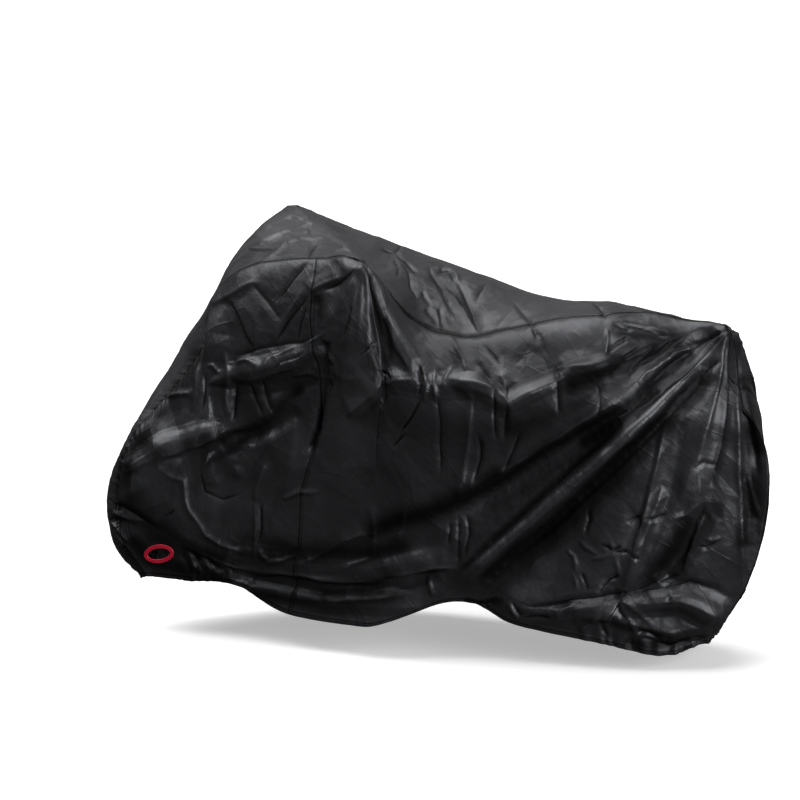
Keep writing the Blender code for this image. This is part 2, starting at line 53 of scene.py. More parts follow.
EYELET_LENGTH = 0.084          # the oval lock eyelets, as in the frame
EYELET_HEIGHT = 0.052
EYELET_BAND = 0.011
EYELET_THICKNESS = 0.0036
EYELET_DEPTH = 0.02            # cloth within this distance of its plane is cut open for it
# The cloth is laid flat around an eyelet: its reach, and where it starts, ends and is cut off
EYELET_FLAT_RADIUS = 0.075
EYELET_FLAT_SHARES = (0.6, 1.5)
EYELET_FLAT_END = 2.0
EYELETS = (("left_eyelet", -1.0), ("right_eyelet", 1.0))     # node, and its way out along Y

# Folds and creases are placed in an oblique elevation of each side, turned and tilted by these
# angles. The camera looks at the left side along the same direction.
FOLD_TURN = math.radians(20.0)
FOLD_TILT = math.radians(13.0)
# How squarely the cloth faces that direction where folds and creases start, and are in full
FOLD_FACING = (0.05, 0.40)
CREASE_FACING = {"left": (-0.10, 0.12), "right": (0.24, 0.50)}
FOLD_END = 0.15                # share of its path over which a main fold dies out
SHARP_CREST = 1.6              # power of a sharp fold's section

# The side seams come forward on the lower wall: (share of the way down, metres forward)
SEAM_LEAN = ((0.0, 0.0), (0.3, 0.0), (0.5, 0.018), (0.65, 0.052), (1.0, 0.030))
SEAM_LEAN_REACH = 0.16         # and how far along the cloth that spreads

PICTURE_SCALE = 378.0          # picture points for one metre
PICTURE_SIZE = 800
PICTURE_ZERO = (437.0, 636.3)  # picture point of the ground point under the middle of the cover
CAMERA_DISTANCE = 80.0
CAMERA_TOWARDS = 0.30          # the plane seen at that scale, towards the camera
CAMERA_FAR = 200.0
SENSOR_WIDTH = 36.0

# ---- Seeds of the random draws, by what they draw ----
FOLD_SEEDS = {"left": 1, "right": 2}
CREASE_SEEDS = {"left": 5, "right": 6}
WANDER_SEEDS = (31, 32)
UNEVEN_SEED = 33
CRUMPLE_SEEDS = {"bend": 40, "ridges": 60, "troughs": 70}    # and the numbers after each
PUCKER_SEEDS = {"top": 81, "top_fine": 82, "side": 83}
GATHER_SEED = 84

# ---- Sections of the top strip, from the front hem over the bars and saddle to the rear hem ----
# They are the frame's, but for the crown a little higher at the bars and the tail drawn in.
# Columns: name, left seam (x, y, z), crown (x, y, z), right seam (x, y, z)
STRIP_SECTIONS = (
    ("front_hem", (-0.735, -0.235, 0.155), (-0.768, -0.168, 0.136), (-0.745, -0.090, 0.140)),
    ("nose_low", (-0.795, -0.250, 0.250), (-0.832, -0.212, 0.225), (-0.805, -0.135, 0.240)),
    ("nose", (-0.810, -0.245, 0.360), (-0.850, -0.222, 0.360), (-0.825, -0.150, 0.360)),
    ("nose_high", (-0.779, -0.235, 0.509), (-0.803, -0.200, 0.513), (-0.790, -0.130, 0.500)),
    ("front_low", (-0.731, -0.210, 0.589), (-0.775, -0.160, 0.580), (-0.765, -0.090, 0.575)),
    ("front_mid", (-0.658, -0.180, 0.683), (-0.739, -0.090, 0.668), (-0.725, -0.020, 0.665)),
    ("front_high", (-0.584, -0.150, 0.804), (-0.688, -0.020, 0.779), (-0.680, 0.070, 0.770)),
    ("front_top", (-0.587, -0.120, 0.893), (-0.655, 0.050, 0.853), (-0.650, 0.130, 0.845)),
    ("corner", (-0.536, -0.120, 0.959), (-0.612, 0.100, 0.957), (-0.622, 0.190, 0.948)),
    ("bar_front", (-0.369, -0.170, 1.034), (-0.465, 0.020, 1.050), (-0.568, 0.235, 1.034)),
    ("side_seam", (-0.265, -0.200, 1.053), (-0.392, 0.020, 1.066), (-0.534, 0.250, 1.064)),
    ("grips", (-0.117, -0.260, 1.064), (-0.310, 0.000, 1.072), (-0.503, 0.262, 1.075)),
    ("behind_bar", (-0.041, -0.250, 0.970), (-0.200, 0.020, 1.034), (-0.420, 0.262, 1.055)),
    ("slope", (0.032, -0.235, 0.907), (-0.100, 0.050, 1.005), (-0.280, 0.250, 1.012)),
    ("dip", (0.150, -0.220, 0.875), (0.020, 0.080, 0.983), (-0.100, 0.255, 0.930)),
    ("rise", (0.275, -0.190, 0.900), (0.180, 0.070, 0.942), (0.100, 0.230, 0.900)),
    ("saddle_front", (0.401, -0.150, 0.929), (0.345, 0.040, 0.929), (0.300, 0.190, 0.890)),
    ("saddle", (0.523, -0.100, 0.938), (0.490, 0.020, 0.940), (0.470, 0.140, 0.905)),
    ("behind_saddle", (0.601, -0.020, 0.935), (0.600, 0.050, 0.914), (0.600, 0.120, 0.893)),
    ("rack", (0.705, 0.010, 0.915), (0.700, 0.060, 0.900), (0.690, 0.110, 0.880)),
    ("rear_corner", (0.804, 0.000, 0.906), (0.789, 0.045, 0.896), (0.780, 0.090, 0.880)),
    ("tail_high", (0.846, -0.060, 0.765), (0.842, 0.020, 0.770), (0.838, 0.100, 0.760)),
    ("tail_mid", (0.916, -0.075, 0.677), (0.900, 0.020, 0.680), (0.865, 0.110, 0.670)),
    ("tail_wide", (0.944, -0.050, 0.590), (0.918, 0.020, 0.590), (0.878, 0.110, 0.590)),
    ("tail_full", (0.945, -0.040, 0.460), (0.924, 0.030, 0.460), (0.890, 0.110, 0.460)),
    ("tail_low", (0.925, -0.045, 0.330), (0.900, 0.030, 0.330), (0.880, 0.105, 0.330)),
    ("tail_foot", (0.880, -0.060, 0.200), (0.850, 0.030, 0.200), (0.835, 0.105, 0.200)),
    ("rear_hem", (0.790, -0.080, 0.060), (0.775, 0.020, 0.055), (0.765, 0.100, 0.060)),
)

# ---- Hems below those sections, and how far each wall stands out below its seam ----
# Columns: section, left hem (x, y, z), left swell, right hem (x, y, z), right swell
HEM_SECTIONS = (
    ("nose", (-0.735, -0.235, 0.155), 0.000, (-0.745, -0.090, 0.140), 0.000),
    ("front_mid", (-0.620, -0.230, 0.150), 0.035, (-0.620, 0.050, 0.125), 0.020),
    ("corner", (-0.470, -0.245, 0.150), 0.060, (-0.480, 0.170, 0.110), 0.040),
    ("side_seam", (-0.290, -0.280, 0.090), 0.045, (-0.300, 0.235, 0.100), 0.040),
    ("grips", (-0.150, -0.300, 0.085), 0.040, (-0.190, 0.255, 0.095), 0.040),
    ("slope", (-0.020, -0.310, 0.105), 0.060, (-0.060, 0.265, 0.100), 0.045),
    ("dip", (0.119, -0.280, 0.160), 0.075, (0.080, 0.260, 0.110), 0.055),
    ("saddle_front", (0.330, -0.240, 0.105), 0.080, (0.300, 0.240, 0.100), 0.070),
    ("behind_saddle", (0.564, -0.220, 0.068), 0.070, (0.560, 0.215, 0.075), 0.070),
    ("rack", (0.700, -0.170, 0.040), 0.035, (0.690, 0.170, 0.055), 0.040),
    ("rear_corner", (0.790, -0.080, 0.060), 0.000, (0.765, 0.100, 0.060), 0.000),
)

# ---- Main folds of the left side, in its oblique elevation, close to the frame's ----
# Columns: name, path of (along, up), half-width at its start, half-width at its end,
# height at its end (below 0 for a trough; it grows with the width), crest
LEFT_FOLDS = (
    ("bar_valley", ((-0.33, 1.09), (-0.22, 1.04), (-0.10, 0.99)), 0.050, 0.070, -0.024, "round"),
    ("rear_brow", ((0.537, 0.644), (0.352, 0.554), (0.188, 0.451), (0.019, 0.347)), 0.045, 0.060,
     0.009, "round"),
    ("rear_trough",
     ((0.730, 0.773), (0.548, 0.615), (0.365, 0.503), (0.198, 0.398), (0.029, 0.297)), 0.060, 0.070,
     -0.030, "round"),
    ("rear_tube", ((0.759, 0.794), (0.563, 0.588), (0.418, 0.456), (0.272, 0.329), (0.127, 0.204),
      (0.034, 0.117)), 0.040, 0.052, 0.036, "round"),
    ("rear_undercut",
     ((0.696, 0.667), (0.537, 0.498), (0.394, 0.366), (0.246, 0.234), (0.114, 0.117)), 0.045, 0.060,
     -0.022, "round"),
    ("rear_skirt", ((0.198, 0.085), (0.339, 0.070), (0.479, 0.091)), 0.070, 0.070, 0.020, "round"),
    ("tail_ridge", ((0.75, 0.77), (0.70, 0.55), (0.66, 0.31)), 0.030, 0.060, 0.022, "round"),
    ("tail_trough", ((0.79, 0.73), (0.83, 0.49), (0.83, 0.25)), 0.030, 0.050, -0.016, "round"),
    ("pouch_hollow", ((0.71, 0.32), (0.66, 0.23), (0.59, 0.14)), 0.030, 0.045, -0.034, "round"),
    ("pouch", ((0.51, 0.09), (0.64, 0.10), (0.77, 0.05)), 0.040, 0.050, 0.034, "round"),
    ("pouch_peak", ((0.58, 0.36), (0.53, 0.23), (0.48, 0.10)), 0.030, 0.035, 0.018, "sharp"),
    ("grip_ridge", ((-0.19, 0.97), (-0.12, 0.82), (-0.04, 0.68)), 0.030, 0.045, 0.018, "round"),
    ("grip_gap", ((-0.18, 0.93), (-0.15, 0.77), (-0.14, 0.60)), 0.025, 0.035, -0.018, "sharp"),
    ("grip_fall", ((-0.22, 0.97), (-0.24, 0.81), (-0.22, 0.63)), 0.030, 0.050, 0.012, "round"),
    ("ledge_front", ((-0.12, 0.68), (0.00, 0.66), (0.09, 0.67)), 0.040, 0.040, 0.012, "round"),
    ("ledge_rear", ((0.09, 0.66), (0.19, 0.61), (0.31, 0.67), (0.50, 0.73)), 0.040, 0.040, 0.019,
     "round"),
    ("mid_fall", ((0.08, 0.65), (0.08, 0.49), (0.05, 0.36)), 0.025, 0.030, 0.004, "sharp"),
    ("bar_hollow", ((-0.55, 0.88), (-0.57, 0.77)), 0.040, 0.050, -0.010, "round"),
    ("front_shelf", ((-0.55, 0.69), (-0.46, 0.71), (-0.38, 0.73), (-0.30, 0.765)), 0.035, 0.032,
     0.015, "round"),
    ("front_tuck", ((-0.52, 0.66), (-0.40, 0.66), (-0.31, 0.68)), 0.035, 0.035, -0.016, "round"),
    ("seam_tuck", ((-0.30, 0.77), (-0.30, 0.68), (-0.32, 0.55), (-0.35, 0.45)), 0.025, 0.025,
     -0.018, "sharp"),
    ("wheel_shelf", ((-0.81, 0.45), (-0.71, 0.51), (-0.56, 0.55)), 0.035, 0.040, 0.016, "round"),
    ("wheel_tuck", ((-0.57, 0.50), (-0.44, 0.55), (-0.36, 0.60)), 0.030, 0.035, -0.018, "round"),
    ("elastic_tuck", ((-0.84, 0.31), (-0.68, 0.23), (-0.49, 0.16)), 0.030, 0.030, -0.008, "round"),
    ("low_step", ((-0.53, 0.22), (-0.36, 0.19), (-0.17, 0.18), (0.03, 0.22)), 0.035, 0.035, 0.010,
     "round"),
    ("low_tuck", ((-0.49, 0.15), (-0.31, 0.12), (-0.14, 0.13), (0.01, 0.16)), 0.030, 0.030, -0.020,
     "round"),
)

# The right side's folds, in the same columns, in its own mirrored oblique elevation
RIGHT_FOLDS = (
    ("rear_trough", ((0.72, 0.78), (0.50, 0.60), (0.25, 0.42), (0.05, 0.30)), 0.045, 0.090, -0.032,
     "round"),
    ("rear_tube", ((0.75, 0.79), (0.52, 0.53), (0.30, 0.32), (0.12, 0.14)), 0.040, 0.060, 0.028,
     "round"),
    ("tail_ridge", ((0.76, 0.76), (0.72, 0.52), (0.70, 0.25)), 0.030, 0.060, 0.020, "round"),
    ("pouch", ((0.45, 0.10), (0.60, 0.11), (0.75, 0.07)), 0.040, 0.050, 0.026, "round"),
    ("grip_ridge", ((-0.55, 0.98), (-0.46, 0.80), (-0.36, 0.62)), 0.030, 0.050, 0.028, "round"),
    ("grip_gap", ((-0.56, 0.95), (-0.54, 0.75), (-0.53, 0.50)), 0.025, 0.040, -0.020, "round"),
    ("grip_fall", ((-0.53, 0.97), (-0.40, 0.86), (-0.22, 0.74)), 0.030, 0.050, 0.022, "round"),
    ("ledge", ((-0.30, 0.70), (-0.10, 0.66), (0.12, 0.68), (0.40, 0.74)), 0.040, 0.040, 0.016,
     "round"),
    ("wall_ridge", ((-0.20, 0.62), (-0.18, 0.40), (-0.20, 0.20)), 0.030, 0.040, 0.014, "round"),
    ("wall_trough", ((0.05, 0.62), (0.03, 0.45), (0.00, 0.30)), 0.030, 0.035, -0.014, "round"),
    ("wheel_shelf", ((-0.70, 0.50), (-0.55, 0.42), (-0.42, 0.30)), 0.035, 0.050, 0.020, "round"),
    ("front_trough", ((-0.60, 0.85), (-0.62, 0.60), (-0.66, 0.38)), 0.030, 0.050, -0.018, "round"),
    ("low_tuck", ((-0.45, 0.14), (-0.20, 0.12), (0.05, 0.13)), 0.030, 0.030, -0.020, "round"),
)

# ---- Creases of the left side, read off the photo and held in real sizes ----
# Columns: name, kind, millimetres to its left and right as it runs, height in millimetres (below
# 0 for a trough), and its path of (along, up) in centimetres of the left side's elevation
LEFT_CREASES = (
    ("bar_crest", "crease_fan", 37, 53, 15, (-38.4, 113.8), (-31, 107.8), (-24.3, 102.2),
     (-19.8, 98.8)),
    ("bar_crest_twin", "crease", 8, 8, 2, (-30.4, 108.3), (-25.7, 104), (-22.5, 101.9)),
    ("gusset_high", "crease", 26, 8, 3, (-48.1, 106.7), (-42.9, 109.6), (-38.9, 111.2),
     (-34.9, 110.4)),
    ("gusset_mid", "crease", 26, 8, 4, (-50.3, 102.7), (-41.5, 107), (-36.2, 108.5), (-32, 109.6)),
    ("gusset_flat", "crease", 13, 8, 3, (-50.3, 102.7), (-46.3, 102.5), (-41.5, 102.7)),
    ("gusset_bow", "crease", 19, 11, 4, (-47.9, 97.4), (-41.5, 102.7), (-38.1, 106.4), (-34.9, 107),
     (-31, 106.4)),
    ("gusset_bow_low", "crease", 11, 8, 3, (-39.4, 104.6), (-36.2, 105.9), (-33.1, 105.6),
     (-29.4, 105.4)),
    ("gusset_notch", "crease", 11, 11, -8, (-34.1, 100.1), (-33.1, 102.7), (-31.5, 104.3)),
    ("lap_top_front", "crease", 8, 11, -3, (-15.6, 102.2), (-13, 101.7), (-11.4, 101.1)),
    ("lap_top_up", "crease", 8, 8, -3, (-11.4, 101.1), (-9.8, 103.3), (-9.3, 104.3)),
    ("lap_top_down", "crease", 11, 8, -4, (-11.9, 101.1), (-10.3, 97.4), (-10.6, 94.3)),
    ("lap_top_rear", "crease", 11, 8, -3, (-11.4, 101.4), (-8.2, 99), (-5, 95.6)),
    ("strip_fall_a", "crease", 19, 11, -5, (-9.3, 99), (-7.7, 96.4), (-6.6, 92.1), (-4.8, 89.5)),
    ("strip_fall_c", "crease", 8, 11, -5, (-4.2, 91.6), (-2.6, 89), (-1.1, 87.4)),
    ("strip_fall_d", "crease", 11, 13, -7, (-3.4, 87.1), (-1.1, 85), (0.8, 82.6)),
    ("strip_fall_f", "crease", 11, 8, -5, (0.5, 87.4), (1.1, 84.2), (1.6, 81.3)),
    ("strip_roll_a", "roll", 21, 16, 5, (-18.8, 97.4), (-15.1, 92.9), (-11.1, 88.2), (-8.5, 85.5)),
    ("strip_roll_b", "roll", 16, 16, 4, (-16.4, 99), (-11.9, 94.3), (-7.7, 88.2), (-5, 83.7)),
    ("strip_crease_a", "crease", 21, 11, -8, (-2.6, 98.5), (0, 94), (2.4, 90.6), (4, 86.6),
     (5.3, 84.2)),
    ("strip_crease_b", "crease", 11, 8, 4, (1.1, 93.2), (3.2, 89.2), (4.8, 85.8)),
    ("strip_crease_c", "crease", 11, 13, 5, (1.3, 93.2), (4.8, 89.2), (7.1, 85.8), (10.8, 80)),
    ("strip_crease_d", "crease", 21, 8, -8, (5, 94.8), (7.1, 90.6), (9.3, 85.3), (11.1, 79.7)),
    ("strip_crease_e", "crease", 8, 13, -4, (13, 93.7), (11.1, 90.8), (9.8, 88.2)),
    ("strip_pinch_a", "crease", 11, 11, -6, (0.5, 96.1), (1.3, 97.4), (3.7, 97.4)),
    ("strip_pinch_b", "crease", 8, 8, -4, (3.2, 97.4), (4, 95.6), (4.2, 94)),
    ("strip_pinch_c", "crease", 8, 8, 3, (4.5, 97.4), (5.3, 95.3), (5.8, 93.2)),
    ("seam_below_a", "crease", 32, 24, 6, (1.6, 81), (4.8, 77.1), (6.9, 73.1), (8.2, 67.8)),
    ("seam_below_b", "crease", 16, 13, -4, (11.4, 78.9), (13.5, 75.2), (15.9, 72.6), (17.2, 70.4)),
    ("seam_below_c", "crease", 13, 11, -4, (9.8, 72.8), (12.2, 69.9), (14.8, 66.2)),
    ("point_crease", "crease", 19, 13, 5, (16.9, 70.2), (17.7, 67.3), (18.8, 62)),
    ("saddle_crease_a", "crease", 16, 11, -4, (20.4, 88.7), (22, 85.8), (24.6, 83.4), (25.9, 80.5),
     (26.7, 76.8)),
    ("saddle_crease_b", "crease", 21, 13, -4, (24.3, 82.1), (27.2, 79.7), (28.3, 75.7),
     (29.9, 73.6)),
    ("saddle_shade", "roll", 19, 24, -6, (24.9, 77.1), (23, 75.2), (21.4, 71.5)),
    ("strip_rear_a", "crease", 11, 11, -3, (40.5, 89), (43.1, 86.6), (45, 83.4)),
    ("hollow_brow", "crease", 34, 13, 6, (-61.1, 87.6), (-56.9, 89.2), (-52.1, 91.9), (-48.9, 93.7),
     (-46.3, 93.2)),
    ("hollow_lap", "lap", 26, 21, 6, (-54.8, 89.5), (-52.1, 84.2), (-50.3, 79.7), (-47.9, 76)),
    ("front_cross_a", "crease", 24, 19, -4, (-49.2, 94), (-44.7, 88.2), (-40.7, 82.9)),
    ("front_cross_c", "crease", 24, 16, -5, (-33.9, 100.1), (-38.4, 94.3), (-43.1, 88.2)),
    ("front_strap", "crease", 11, 26, 5, (-34.9, 92.7), (-37.8, 88.2), (-40.7, 83.1),
     (-43.9, 77.1)),
    ("front_strap_edge", "crease", 16, 8, -5, (-33.6, 91.1), (-36.8, 87.1), (-39.7, 82.9),
     (-43.1, 77.3)),
    ("front_line", "crease", 19, 13, -4, (-34.7, 88.4), (-36, 83.1), (-37, 77.6)),
    ("flap_lip", "crease", 32, 11, 6, (-35.4, 94), (-33.1, 91.6), (-30.4, 92.9), (-24.3, 95.1),
     (-20.4, 98.2)),
    ("flap_shade", "roll", 24, 21, -9, (-32, 90.6), (-31.5, 86.3), (-31.5, 81.6)),
    ("flap_wedge", "crease", 13, 24, -7, (-30.4, 91.3), (-25.7, 93.5), (-21.2, 97.4)),
    ("ledge_lip", "crease", 69, 16, 9, (-54.8, 68.6), (-50, 68.6), (-46.3, 69.4), (-42.1, 70.4),
     (-38.4, 71.2), (-35.4, 72.6)),
    ("ledge_top", "crease", 13, 26, -4, (-55.3, 73.9), (-49.5, 75.2), (-46.3, 76.5), (-40.2, 77.3),
     (-36.2, 77.6), (-31.5, 79.7), (-29.1, 82.4)),
    ("ledge_wave_a", "crease", 13, 16, 6, (-46.3, 69.9), (-44.2, 73.4), (-40.5, 75.2),
     (-36.2, 77.1)),
    ("ledge_wave_b", "crease", 11, 11, -5, (-43.1, 70.7), (-41.3, 72.6), (-37.3, 73.6),
     (-34.9, 75.7)),
    ("ledge_wave_c", "crease", 13, 13, 8, (-53.2, 72), (-50, 73.1), (-46.8, 71.5)),
    ("ledge_wave_f", "crease", 13, 11, 6, (-34.9, 76.3), (-33.1, 78.4), (-30.4, 80)),
    ("under_ledge_a", "crease", 16, 11, -5, (-49.5, 67.8), (-47.9, 62.8), (-45.8, 57.8)),
    ("under_ledge_b", "crease", 16, 11, -5, (-46, 68.6), (-45, 63.6), (-43.7, 58.3)),
    ("hood_dark", "roll", 32, 19, -12, (-35.7, 66.7), (-39.9, 62.5), (-42.6, 58.8), (-43.7, 55.4)),
    ("hood_hollow", "roll", 24, 24, -12, (-43.1, 57.2), (-47.9, 53.8), (-55.8, 52.7)),
    ("finger_a", "crease", 16, 13, 9, (-55.8, 75.7), (-55, 69.9), (-55.6, 64.1), (-55.3, 58.8)),
    ("finger_a_edge", "crease", 16, 11, -7, (-52.9, 67.8), (-53.4, 62.5), (-53.7, 56.7)),
    ("finger_b", "crease", 16, 13, 7, (-63.2, 72.6), (-63.5, 65.7), (-64.8, 59.1)),
    ("finger_b_edge", "crease", 16, 11, -6, (-61.4, 69.9), (-61.6, 64.6), (-62.2, 58.8)),
    ("nose_bar", "crease", 16, 11, 4, (-72.5, 63.6), (-68.5, 64.1), (-64.3, 64.1)),
    ("nose_star_a", "crease", 8, 8, 5, (-61.1, 71.2), (-59.3, 71.8), (-57.7, 69.7), (-56.1, 70.4)),
    ("shelf_lip", "crease", 95, 19, 24, (-75.9, 45.3), (-72.8, 48.2), (-69.3, 49.3), (-62.7, 51.7),
     (-56.1, 54.3), (-50.8, 55.4)),
    ("shelf_under", "roll", 16, 26, -9, (-72.5, 46.1), (-65.3, 47.4), (-56.1, 49.3), (-48.4, 48.8)),
    ("shelf_front", "crease", 16, 13, 7, (-82.8, 42.9), (-78.6, 45.8), (-75.1, 47.4)),
    ("long_ridge", "crease", 13, 16, 5, (-75.1, 46.1), (-73.3, 44), (-70.1, 42.1), (-67.2, 41.3),
     (-66.7, 36.1), (-65.9, 33.4), (-64, 30.8), (-61.4, 26.8), (-57.4, 24.2), (-50.8, 21.5),
     (-48.4, 20.7)),
    ("pillow_a", "roll", 24, 24, 11, (-60.8, 40), (-58.7, 41.3), (-56.3, 42.1)),
    ("pillow_b", "roll", 21, 21, 9, (-54.5, 42.4), (-51.1, 44.3)),
    ("pillow_rim", "crease", 16, 16, -2, (-63.2, 44), (-61.4, 38.2), (-56.9, 36.1), (-50.8, 38.2)),
    ("wheel_rim_a", "crease", 21, 13, 8, (-44.7, 46.1), (-46.3, 42.4), (-47.6, 38.7),
     (-48.4, 35.3)),
    ("wheel_nick", "crease", 11, 11, -5, (-72.8, 31.3), (-69.3, 33.4)),
    ("wheel_fold", "crease", 11, 8, 3, (-48.4, 36.1), (-48.1, 28.1), (-48.9, 18.6)),
    ("wheel_fold_twin", "crease", 8, 8, -4, (-46.8, 35.3), (-46.8, 28.1), (-47.6, 24.2)),
    ("wheel_curl", "crease", 11, 11, 3, (-47.6, 24.2), (-46.8, 21.5), (-44.2, 19.7), (-41.5, 19.9),
     (-36.2, 21.2)),
    ("rim_streak", "crease", 13, 8, 6, (-41, 36.3), (-36.2, 38.2), (-31, 37.9)),
    ("toe_dark", "crease", 16, 19, -11, (-87.6, 36.1), (-83.9, 34.2), (-78.6, 31), (-74.6, 28.4),
     (-71.7, 25.5)),
    ("toe_band", "crease", 13, 13, 7, (-86.8, 32.6), (-82.5, 31.6), (-77.8, 29.7)),
    ("toe_gather_a", "crease", 11, 8, 5, (-86.5, 30.2), (-83.9, 27.1), (-81, 23.9)),
    ("toe_gather_b", "crease", 11, 8, 5, (-86, 27.6), (-82.3, 23.4), (-78.3, 20.7)),
    ("toe_gather_c", "crease", 11, 8, 5, (-84.4, 23.9), (-80.4, 21), (-76.2, 19.9)),
    ("elastic_brow", "crease", 32, 11, 12, (-72.5, 26.3), (-65.3, 23.4), (-58.7, 20.2),
     (-53.4, 18.3), (-46.3, 17)),
    ("seam_streak", "crease", 13, 11, 6, (-38.9, 69.1), (-34.1, 69.9), (-31.7, 68.3)),
    ("peep_hole", "roll", 16, 16, -14, (-29.1, 72.6), (-27.5, 71)),
    ("peep_flap", "crease", 8, 8, 8, (-28.3, 74.7), (-27.2, 71.5), (-26.5, 68.1)),
    ("peep_patch", "crease", 13, 11, -9, (-28.8, 68.1), (-28.6, 64.4)),
    ("seam_stripe", "crease", 13, 11, -8, (-30.7, 60.9), (-31.7, 54.6), (-32.8, 50.6),
     (-33.3, 47.4)),
    ("grip_fan_a", "roll_fan", 21, 24, 8, (-20.4, 97.4), (-25.1, 89), (-29.4, 81.8)),
    ("grip_fan_b", "roll_fan", 16, 16, 9, (-20.1, 97.4), (-22.5, 87.6), (-24.3, 76.3)),
    ("grip_fan_c", "roll_fan", 13, 13, 5, (-19.6, 97.4), (-20.4, 86.3), (-20.9, 75.7)),
    ("grip_fan_d", "roll_fan", 13, 13, 3, (-19, 96.9), (-18, 86.3), (-17.7, 76.3)),
    ("grip_dark_a", "crease", 8, 11, -5, (-22.5, 88.4), (-23, 84.2), (-24.6, 78.9)),
    ("grip_dark_b", "crease_fan", 11, 13, -6, (-18.8, 97.4), (-16.7, 89), (-14.3, 77.1)),
    ("grip_dark_c", "roll", 16, 13, -8, (-14, 84.7), (-13, 78.4), (-12.2, 72.6)),
    ("grip_edge", "crease_fan", 19, 16, 4, (-17.7, 93.7), (-13.8, 84.2), (-10.6, 76.3),
     (-6.9, 70.7), (-4, 67.8)),
    ("grip_nick", "crease", 11, 11, -7, (-20.6, 74.2), (-18.3, 76), (-15.6, 77.6)),
    ("knee_lip", "crease", 79, 19, 20, (-24.3, 57.5), (-20.4, 60.7), (-16.9, 64.1), (-14, 68.3)),
    ("knee_knot", "crease", 11, 11, -9, (-14.6, 70.7), (-13.5, 68.9), (-12.2, 67.3)),
    ("hang_fold", "lap", 24, 19, 8, (-16.1, 39.2), (-15.9, 46.6), (-15.6, 51.9), (-15.1, 57.2),
     (-14.6, 62.5), (-14, 67.3)),
    ("shoulder_lip_a", "crease", 26, 19, 5, (-14, 67.3), (-9.8, 67.8), (-4.5, 68.1)),
    ("shoulder_lip_b", "crease", 95, 26, 17, (0, 65.4), (3.4, 68.1), (8.2, 67), (11.9, 66.2),
     (15.9, 64.9), (19, 61.2), (24.6, 64.4), (31.5, 67.3)),
    ("shoulder_lip_c", "crease", 48, 24, 13, (31.5, 70.7), (37.8, 71.2), (43.1, 72), (48.9, 72.8)),
    ("tuck_a", "crease", 9, 9, 8, (-3.7, 71.8), (-2.6, 66.7), (-3.4, 61.5)),
    ("tuck_b", "crease", 8, 8, -9, (-4.5, 72), (-4.2, 68.3), (-4.8, 63)),
    ("tuck_d", "crease", 9, 8, 7, (-0.5, 71.5), (-0.8, 66.2), (0, 62)),
    ("tuck_f", "crease", 9, 9, 7, (1.1, 65.4), (2.6, 68.6), (4.2, 71.5)),
    ("wall_line_a", "crease", 13, 11, -6, (-4.2, 62.8), (-7.4, 57.2), (-10.1, 53.5)),
    ("wall_line_b", "crease", 11, 8, -5, (-8.7, 53.5), (-11.9, 49.8)),
    ("wall_fold_a", "crease", 19, 13, -5, (0, 65.7), (0.3, 61.2), (0.8, 55.9), (1.1, 41.3)),
    ("wall_fold_b", "crease", 11, 16, 2, (8.5, 67.3), (9, 62.5), (8.7, 54.6), (7.9, 49.3),
     (6.9, 41.3), (4.5, 32.9)),
    ("wall_fold_c", "crease", 11, 8, -7, (10.6, 54), (11.4, 50.3), (11.4, 46.6), (10.6, 43.5),
     (9.3, 39.2)),
    ("wall_fold_d", "crease", 11, 8, -6, (15.1, 65.7), (15.1, 58.5), (15.3, 51.7)),
    ("wall_fold_e", "crease", 16, 16, -7, (18.8, 62), (18, 56.7), (17.7, 51.4)),
    ("wall_fold_f", "crease", 13, 8, -5, (22, 54.3), (19.6, 48.5), (17.2, 42.9)),
    ("wall_fold_g", "crease", 11, 11, -7, (31.2, 71.5), (31.7, 65.2), (32.3, 57.2)),
    ("wall_fold_j", "crease", 13, 16, 6, (-17.2, 35), (-16.7, 26.8), (-17.5, 19.9)),
    ("wall_fold_k", "crease", 13, 13, 4, (-8.5, 34.7), (-9.3, 29.4), (-10.8, 24.9)),
    ("low_line_b", "crease", 24, 16, 4, (-36, 19.4), (-32.3, 20.2), (-28.3, 22.8), (-24.3, 25.5),
     (-20.4, 26.8), (-14.6, 27.3)),
    ("low_line_c", "crease", 11, 11, 3, (-25.1, 16.7), (-23.5, 18.6), (-20.4, 19.7), (-16.9, 20.7)),
    ("low_facet", "crease", 53, 13, 17, (-14, 15.4), (-8.5, 17), (-1.9, 18.3), (5.3, 18.1)),
    ("low_facet_edge", "crease", 8, 13, -9, (-15.6, 14.4), (-9.8, 15.4), (-1.9, 16.7), (2.9, 17.5)),
    ("pleat_a", "crease", 9, 8, -4, (3.4, 30.5), (3.4, 26.8), (2.9, 23.6)),
    ("pleat_b", "crease", 11, 8, -5, (5.8, 32.4), (5.8, 25.5), (5.6, 18.3)),
    ("pleat_c", "crease", 11, 8, -4, (8.2, 32.6), (8.5, 26.8), (7.1, 20.2)),
    ("small_tube_a", "crease", 8, 8, 6, (-2.6, 16.2), (-0.8, 10.4)),
    ("under_line", "crease", 34, 11, 12, (-50, 17), (-41.5, 17), (-36.2, 16.5), (-31, 15.2),
     (-24.3, 14.6), (-17.7, 14.6), (-14.6, 15.2)),
    ("under_shade", "crease", 11, 21, -9, (-49.5, 15.7), (-41.5, 15.7), (-36.2, 15.2), (-31, 13.8),
     (-24.3, 13.3), (-17.7, 13.3), (-9.8, 14.4)),
    ("hem_swell", "roll", 37, 24, 9, (-36.2, 8), (-24.3, 8), (-9.8, 7.5), (-1.3, 8)),
    ("hem_swell_front", "roll", 21, 26, 6, (-61.4, 18.6), (-53.4, 14.4), (-45.5, 11.7)),
    ("lower_wall_a", "crease", 11, 8, -6, (39.9, 34.7), (40.2, 30.8), (38.9, 26.3)),
    ("lower_wall_c", "crease", 11, 11, 5, (37.3, 25.2), (40.5, 23.1), (43.1, 22)),
